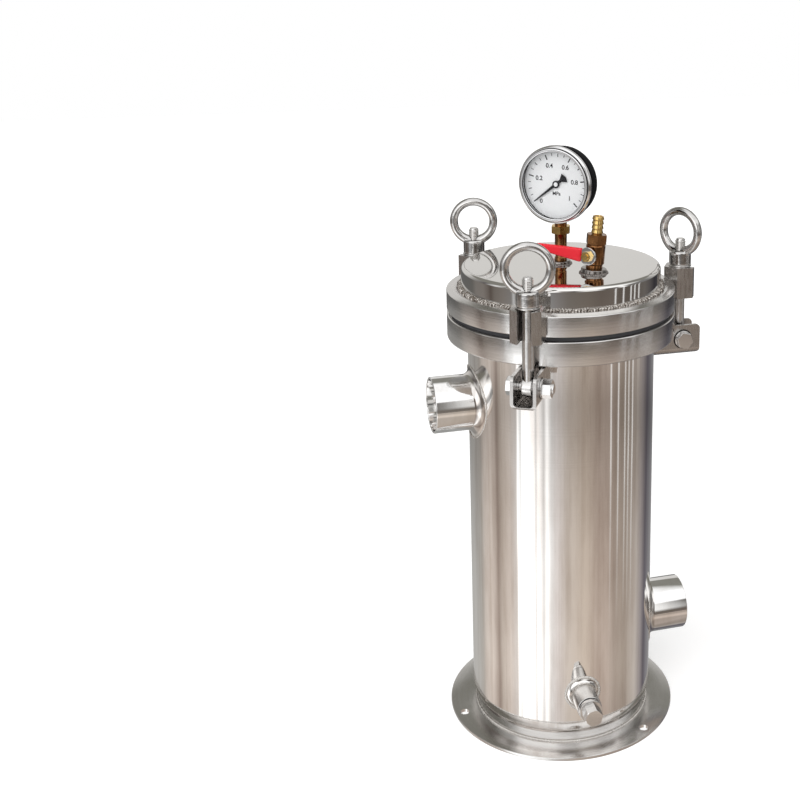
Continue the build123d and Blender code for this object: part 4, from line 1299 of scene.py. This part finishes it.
def build_sock():
    """Felt sock: hangs from its collar, drawn into shallow upright folds that fade at both ends."""
    noise.seed_set(7)
    around, up = (120, 40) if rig.quick() else (240, 90)
    depth, inward = 0.55 * MM, 1.3      # of the folds, which draw the felt in more than they push it out
    bm = bmesh.new()

    def column(radius, bottom):
        """Rounded foot and straight side, from the middle outwards and up."""
        corner = 10 * MM
        turns = [math.radians(90 * k / 8) for k in range(9)]
        out = [(radius - corner + corner * math.sin(t), bottom + corner * (1 - math.cos(t))) for t in turns]
        start = bottom + corner
        return out + [(radius, start + (SOCK_TOP - start) * k / up) for k in range(1, up + 1)]

    def level(radius, z):
        """Folded ring of felt at one height."""
        share = (z - SOCK_BOTTOM) / (SOCK_TOP - SOCK_BOTTOM)
        fold = max(0.0, min(1.0, 6 * share)) * max(0.0, min(1.0, 6 * (1 - share)))
        ring = []
        for k in range(around):
            a = 2 * math.pi * k / around
            wave = 0.9 * math.sin(9 * a + 30.0 * z) + 0.6 * math.sin(17 * a - 20.0 * z)
            wave += 2.2 * noise.noise(Vector((math.cos(a) * 2.2, math.sin(a) * 2.2, z * 14)))
            r = radius + fold * (wave - inward) * depth
            ring.append(bm.verts.new((r * math.cos(a), r * math.sin(a), z)))
        return ring

    skin, lining = column(SOCK_R, SOCK_BOTTOM), column(SOCK_R - FELT, SOCK_BOTTOM + FELT)
    rings = [level(r, z) for r, z in skin + lining[::-1]]
    skinned(bm, rings, closed=False)
    for ring, z in ((rings[0], SOCK_BOTTOM), (rings[-1], SOCK_BOTTOM + FELT)):
        for share in (3 / 4, 2 / 3, 1 / 2):     # each ring of the floor against the one outside it
            inner = [bm.verts.new((v.co.x * share, v.co.y * share, z)) for v in ring]
            skinned(bm, [ring, inner], closed=False)
            ring = inner
        pole = bm.verts.new((0, 0, z))
        for k in range(around):
            bm.faces.new((ring[k], ring[(k + 1) % around], pole))
    sock = finish_piece("felt_sock", bm, "bag", "bag_felt", "bag_felt", ("bag_sock",), 60)
    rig.sheet(sock, flat=(0.467, 0.305), held="hung", rests_on=["bag_ring"])


# ---------------------------------------------------------------- stage
# What the steel mirrors all round the studio: degrees from the camera's own direction, and the
# light there. White is the open softbox; the browns are its wooden room.
CAMERA_TURN, CAMERA_TILT, CAMERA_ROLL = 17.0, 76.765, 0.03
CAMERA_PLACE = (-0.3718, -1.2161, 0.8240)
LENS, SENSOR = 55.10, 36.0
LOW_STUDIO = (
    (-180, (0.45, 0.45, 0.44)), (-130, (0.48, 0.47, 0.45)), (-120, (0.50, 0.48, 0.45)),
    (-112, (0.74, 0.68, 0.63)), (-98, (0.78, 0.70, 0.64)), (-90, (0.56, 0.48, 0.43)),
    (-86, (0.38, 0.31, 0.27)), (-80, (0.62, 0.55, 0.49)),
    (-68, (0.76, 0.68, 0.62)), (-56.5, (0.80, 0.76, 0.73)), (-55, (2.0, 2.0, 2.0)), (-51, (0.98, 1.0, 1.0)),
    (-49, (2.0, 2.0, 2.0)), (-33, (2.0, 2.0, 2.0)), (-31, (1.0, 1.02, 1.03)), (-29, (2.0, 2.0, 2.0)),
    (-21, (1.0, 1.0, 1.0)), (-17, (1.7, 1.7, 1.7)), (-12, (0.93, 0.92, 0.91)), (-5, (0.84, 0.79, 0.77)),
    (8, (0.66, 0.59, 0.53)), (30, (0.62, 0.53, 0.45)), (46, (0.52, 0.43, 0.37)), (60, (0.56, 0.47, 0.41)),
    (70, (0.44, 0.37, 0.32)), (88, (0.40, 0.34, 0.29)), (110, (0.52, 0.47, 0.43)), (122, (0.34, 0.31, 0.31)),
    (134, (0.13, 0.12, 0.14)), (160, (0.30, 0.30, 0.31)), (180, (0.45, 0.45, 0.44)))
HIGH_STUDIO = (
    (-180, (0.72, 0.71, 0.69)), (-140, (0.70, 0.69, 0.67)), (-115, (0.32, 0.31, 0.30)), (-95, (0.12, 0.11, 0.11)),
    (-78, (0.85, 0.85, 0.85)), (-64, (0.20, 0.19, 0.18)), (-52, (1.60, 1.60, 1.60)), (-9, (1.80, 1.80, 1.80)),
    (1, (0.34, 0.31, 0.29)), (15, (0.12, 0.11, 0.10)), (28, (0.95, 0.94, 0.92)), (40, (0.95, 0.94, 0.92)),
    (52, (0.12, 0.11, 0.10)), (66, (0.20, 0.18, 0.17)), (74, (1.30, 1.30, 1.30)), (82, (0.20, 0.19, 0.18)),
    (115, (0.22, 0.22, 0.22)), (140, (0.68, 0.67, 0.65)), (180, (0.72, 0.71, 0.69)))
# brightness of the low studio, by how steeply the eye looks down, from steep to nearly level
LOW_GAIN = ((-0.62, 0.75), (-0.53, 1.15), (-0.46, 1.06), (-0.40, 0.88), (-0.345, 0.62), (-0.315, 0.86),
            (-0.292, 0.76), (-0.272, 0.30), (-0.15, 0.26))
GAIN_SHIFT = 0.7        # carries those heights into the ramp's own 0 to 1
STREAKS = (64, 75, 86, 92, 99)
SOFTBOX = (1.1, 1.1, 1.1)


def turn_share(degrees):
    """Share of a full turn at which a direction lies, seen from the camera's own."""
    return ((degrees - CAMERA_TURN) / 360.0 + 0.5) % 1.0


def ring_stops(stops):
    """Stops of a ramp that runs once round the studio and meets itself without a step."""
    row = sorted((turn_share(degrees), colour) for degrees, colour in stops[:-1])
    gap = row[0][0] + 1.0 - row[-1][0]
    seam = [a + (b - a) * (1.0 - row[-1][0]) / gap for a, b in zip(row[-1][1], row[0][1])]
    return [(0.0, seam)] + row + [(1.0, seam)]


def studio_world(settings):
    """World with a plain soft light for what is matt and the striped studio for what mirrors."""
    world = bpy.data.worlds.get("studio") or bpy.data.worlds.new("studio")
    n = Shader("studio", world)
    x, y, rise = n.parts(n.node("ShaderNodeTexCoord").outputs["Generated"])
    turn = n.math("ARCTAN2", x, n.math("MULTIPLY", y, -1.0))
    share = n.math("ADD", n.math("DIVIDE", turn, 2 * math.pi), 0.5)

    gain = n.ramp(n.math("ADD", rise, GAIN_SHIFT), [(z + GAIN_SHIFT, (g, g, g)) for z, g in LOW_GAIN])
    low = n.vector("MULTIPLY", n.ramp(share, ring_stops(LOW_STUDIO)), gain)
    gleam = 0.0
    for degrees in STREAKS:
        off = n.math("ABSOLUTE", n.math("SUBTRACT", share, turn_share(degrees)))
        gleam = n.math("ADD", gleam, n.span(off, 1.0, 0.0, 0.0012, 0.0042))
    low = n.blend(n.math("MULTIPLY", gleam, n.span(rise, 0.0, 0.75, -0.5, -0.38)), low, SOFTBOX)
    # overhead: a wide softbox towards the front, a dull ceiling behind
    ceiling = n.blend(n.span(y, 1.0, 0.0, -0.25, 0.15), (0.24, 0.235, 0.21), (1.25, 1.25, 1.25))
    lid = n.blend(n.span(rise, 0.0, 1.0, 0.86, 0.95), ceiling, SOFTBOX)
    high = n.blend(n.span(rise, 0.0, 1.0, 0.42, 0.50), n.ramp(share, ring_stops(HIGH_STUDIO)), lid)
    studio = n.blend(n.span(rise, 0.0, 1.0, -0.12, 0.05), low, high)

    def light(colour, strength=1.0):
        return n.node("ShaderNodeBackground", {0: colour, 1: strength}).outputs[0]

    def either(choice, no, yes):
        return n.node("ShaderNodeMixShader", {0: choice, 1: no, 2: yes}).outputs[0]

    path = n.node("ShaderNodeLightPath").outputs
    mirrored = n.math("MAXIMUM", path["Is Glossy Ray"], path["Is Transmission Ray"])
    steel = either(mirrored, light((*settings.room_colour, 1), settings.room_light), light(studio))
    n.node("ShaderNodeOutputWorld", {0: either(path["Is Camera Ray"], steel, light((1, 1, 1, 1)))})
    return world


def build_stage(settings):
    scene = bpy.context.scene
    scene.view_settings.view_transform = "Standard"
    camera = linked("camera", bpy.data.cameras.new("camera"))
    camera.location = CAMERA_PLACE
    camera.rotation_euler = [math.radians(a) for a in (CAMERA_TILT, CAMERA_ROLL, -CAMERA_TURN)]
    camera.data.lens, camera.data.sensor_width, camera.data.clip_start = LENS, SENSOR, 0.05
    camera.data.shift_x, camera.data.shift_y = settings.shift_x, settings.shift_y
    scene.camera = camera
    scene.world = studio_world(settings)

    # the floor is white to the eye and still takes the shadow
    bm = bmesh.new()
    bm.faces.new([bm.verts.new(corner) for corner in ((-6, -6, 0), (6, -6, 0), (6, 6, 0), (-6, 6, 0))])
    floor = stored("floor", bm)
    n = Shader("floor")
    speckle = n.noise(30.0, 3.0)
    n.set(Base_Color=n.blend(speckle, (0.80, 0.80, 0.80), (0.82, 0.82, 0.82)), Roughness=0.9,
          Specular_IOR_Level=0.1, Emission_Color=(1.0, 1.0, 1.0),
          Emission_Strength=n.math("MULTIPLY", n.seen(), 0.4))
    floor.data.materials.append(n.owner)
    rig.stage(floor)
    floor.visible_glossy = False

    for name, azimuth, elevation, spread, strength in (("key_lamp", -50.0, 45.0, 70.0, 1.9),
                                                       ("fill_lamp", 60.0, 35.0, 90.0, 0.6)):
        # a soft distant lamp lights evenly, and the steel mirrors the studio instead of it
        lamp = linked(name, bpy.data.lights.new(name, "SUN"))
        lamp.data.energy, lamp.data.angle = strength * settings.lamp_power, math.radians(spread)
        way = outward(azimuth, 1, 0).translation * math.cos(math.radians(elevation))
        way.z = math.sin(math.radians(elevation))
        lamp.location = way * 2
        lamp.rotation_euler = way.to_track_quat("Z", "Y").to_euler()
        lamp.visible_glossy = False


# ---------------------------------------------------------------- settings
def length(name, description, default):
    return FloatProperty(name=name, description=description, default=default, min=0.0, unit="LENGTH", precision=5)


def number(name, description, default, low, high):
    return IntProperty(name=name, description=description, default=default, min=low, max=high)


def colour(name, description, default):
    return FloatVectorProperty(name=name, description=description, default=default, subtype="COLOR",
                               min=0.0, max=1.0)


class FilterSizeSettings(bpy.types.PropertyGroup):
    weld_width: length("Weld width", "Width of the weld at the foot of the cover cap", 0.0076)
    weld_height: length("Weld height", "How far that weld stands up", 0.0026)
    weld_pitch: length("Weld pitch", "Distance from ripple to ripple of that weld", 0.0031)
    thread_turns: FloatProperty(name="Thread turns", description="Turns of thread shown on each swing bolt",
                                default=18.0, min=1.0, max=40.0)
    thread_depth: length("Thread depth", "Height of the thread over its core", 0.00102)
    plug_hexagon: length("Plug hexagon", "Width across the flats of the drain plug", 0.017)
    nozzle_ribs: number("Nozzle ribs", "Ribs of the hose nozzle", 4, 1, 8)
    fine_marks: number("Fine marks", "Fine marks of the dial, both ends counted", 21, 2, 101)
    number_height: length("Number height", "Height of the numbers on the dial", 0.0066)
    mesh_columns: number("Basket columns", "Holes round the basket", 80, 12, 120)
    mesh_rows: number("Basket rows", "Holes up the basket", 44, 6, 60)


class FilterColourSettings(bpy.types.PropertyGroup):
    sleeve: colour("Lever sleeve", "Colour of the sleeve on the vent lever", (0.84, 0.003, 0.013))
    brass: colour("Brass", "Colour of the clean brass fittings", (0.88, 0.64, 0.26))
    bronze: colour("Bronze", "Colour of the darkened bronze fittings", (0.44, 0.21, 0.08))
    dial: colour("Dial", "Colour of the gauge dial", (0.96, 0.97, 0.98))
    ink: colour("Ink", "Colour of the marks, numbers and needle", (0.02, 0.02, 0.024))
    case: colour("Gauge case", "Colour of the case behind the dial", (0.008, 0.008, 0.010))
    rubber: colour("Seals", "Colour of the flange seal and the plug's washer", (0.016, 0.016, 0.017))
    felt: colour("Felt", "Colour of the filter bag", (0.90, 0.89, 0.85))
    ring: colour("Bag ring", "Colour of the ring the bag hangs from", (0.88, 0.88, 0.86))


class FilterStageSettings(bpy.types.PropertyGroup):
    room_colour: colour("Room colour", "Colour of the soft light from all round", (1.0, 0.99, 0.98))
    room_light: FloatProperty(name="Room light", description="Brightness of the studio", default=0.5, min=0.0)
    lamp_power: FloatProperty(name="Lamp power", description="Scale of every lamp", default=1.0, min=0.0)
    shift_x: FloatProperty(name="Shift across", description="Framing of the camera across", default=-0.2008)
    shift_y: FloatProperty(name="Shift up", description="Framing of the camera upwards", default=-0.1827)


def run(operator, builder, *args):
    """Call a builder and turn any failure into an operator error."""
    try:
        builder(*args)
    except Exception as error:
        raise RuntimeError("%s could not finish: %s" % (operator.bl_label, error)) from error
    return {"FINISHED"}


class FILTER_OT_vessel(bpy.types.Operator):
    """Build the shell, its head, skirt and foot plate"""
    bl_idname = "bag_filter.vessel"
    bl_label = "Vessel"

    def execute(self, context):
        return run(self, build_vessel)


class FILTER_OT_ports(bpy.types.Operator):
    """Build the inlet, the outlet and the drain with its plug"""
    bl_idname = "bag_filter.ports"
    bl_label = "Ports and drain"

    def execute(self, context):
        return run(self, build_ports)


class FILTER_OT_flanges(bpy.types.Operator):
    """Build both flanges, the seal and the cover"""
    bl_idname = "bag_filter.flanges"
    bl_label = "Flanges and cover"

    def execute(self, context):
        return run(self, build_flanges)


class FILTER_OT_closures(bpy.types.Operator):
    """Build the brackets, swing bolts, lugs and eye nuts"""
    bl_idname = "bag_filter.closures"
    bl_label = "Closures"

    def execute(self, context):
        return run(self, build_closures)


class FILTER_OT_gauge(bpy.types.Operator):
    """Build the pressure gauge on its shank"""
    bl_idname = "bag_filter.gauge"
    bl_label = "Pressure gauge"

    def execute(self, context):
        return run(self, build_gauge)


class FILTER_OT_vent(bpy.types.Operator):
    """Build the vent valve with its lever and hose nozzle"""
    bl_idname = "bag_filter.vent"
    bl_label = "Vent valve"

    def execute(self, context):
        return run(self, build_vent)


class FILTER_OT_insides(bpy.types.Operator):
    """Build the basket and the felt bag"""
    bl_idname = "bag_filter.insides"
    bl_label = "Basket and bag"

    def execute(self, context):
        return run(self, build_insides)


class FILTER_OT_stage(bpy.types.Operator):
    """Set the camera, the floor, the studio and its lamps"""
    bl_idname = "bag_filter.stage"
    bl_label = "Stage"

    def execute(self, context):
        return run(self, build_stage, context.scene.filter_stage)


STEPS = (FILTER_OT_vessel, FILTER_OT_ports, FILTER_OT_flanges, FILTER_OT_closures, FILTER_OT_gauge,
         FILTER_OT_vent, FILTER_OT_insides, FILTER_OT_stage)


class FILTER_PT_panel(bpy.types.Panel):
    """Every step of the housing and the studio settings"""
    bl_label = "Bag filter housing"
    bl_idname = "FILTER_PT_panel"
    bl_space_type = "VIEW_3D"
    bl_region_type = "UI"
    bl_category = "Filter"

    def draw(self, context):
        for step in STEPS:
            self.layout.operator(step.bl_idname)
        scene = context.scene
        for settings in (scene.filter_sizes, scene.filter_colours, scene.filter_stage):
            box = self.layout.box()
            for name in settings.__annotations__:
                box.prop(settings, name)


CLASSES = (FilterSizeSettings, FilterColourSettings, FilterStageSettings) + STEPS + (FILTER_PT_panel,)


def register():
    for cls in CLASSES:
        bpy.utils.register_class(cls)
    bpy.types.Scene.filter_sizes = PointerProperty(type=FilterSizeSettings)
    bpy.types.Scene.filter_colours = PointerProperty(type=FilterColourSettings)
    bpy.types.Scene.filter_stage = PointerProperty(type=FilterStageSettings)


def unregister():
    del bpy.types.Scene.filter_sizes, bpy.types.Scene.filter_colours, bpy.types.Scene.filter_stage
    for cls in reversed(CLASSES):
        bpy.utils.unregister_class(cls)


def main():
    register()
    for step in STEPS:
        group, name = step.bl_idname.split(".")
        getattr(getattr(bpy.ops, group), name)()
    with open("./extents.json", "w") as out:
        json.dump({"cad": [list(v) for v in CAD_BOX], "visual": [list(v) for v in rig.bounds()]}, out)


if __name__ == "__main__":
    main()
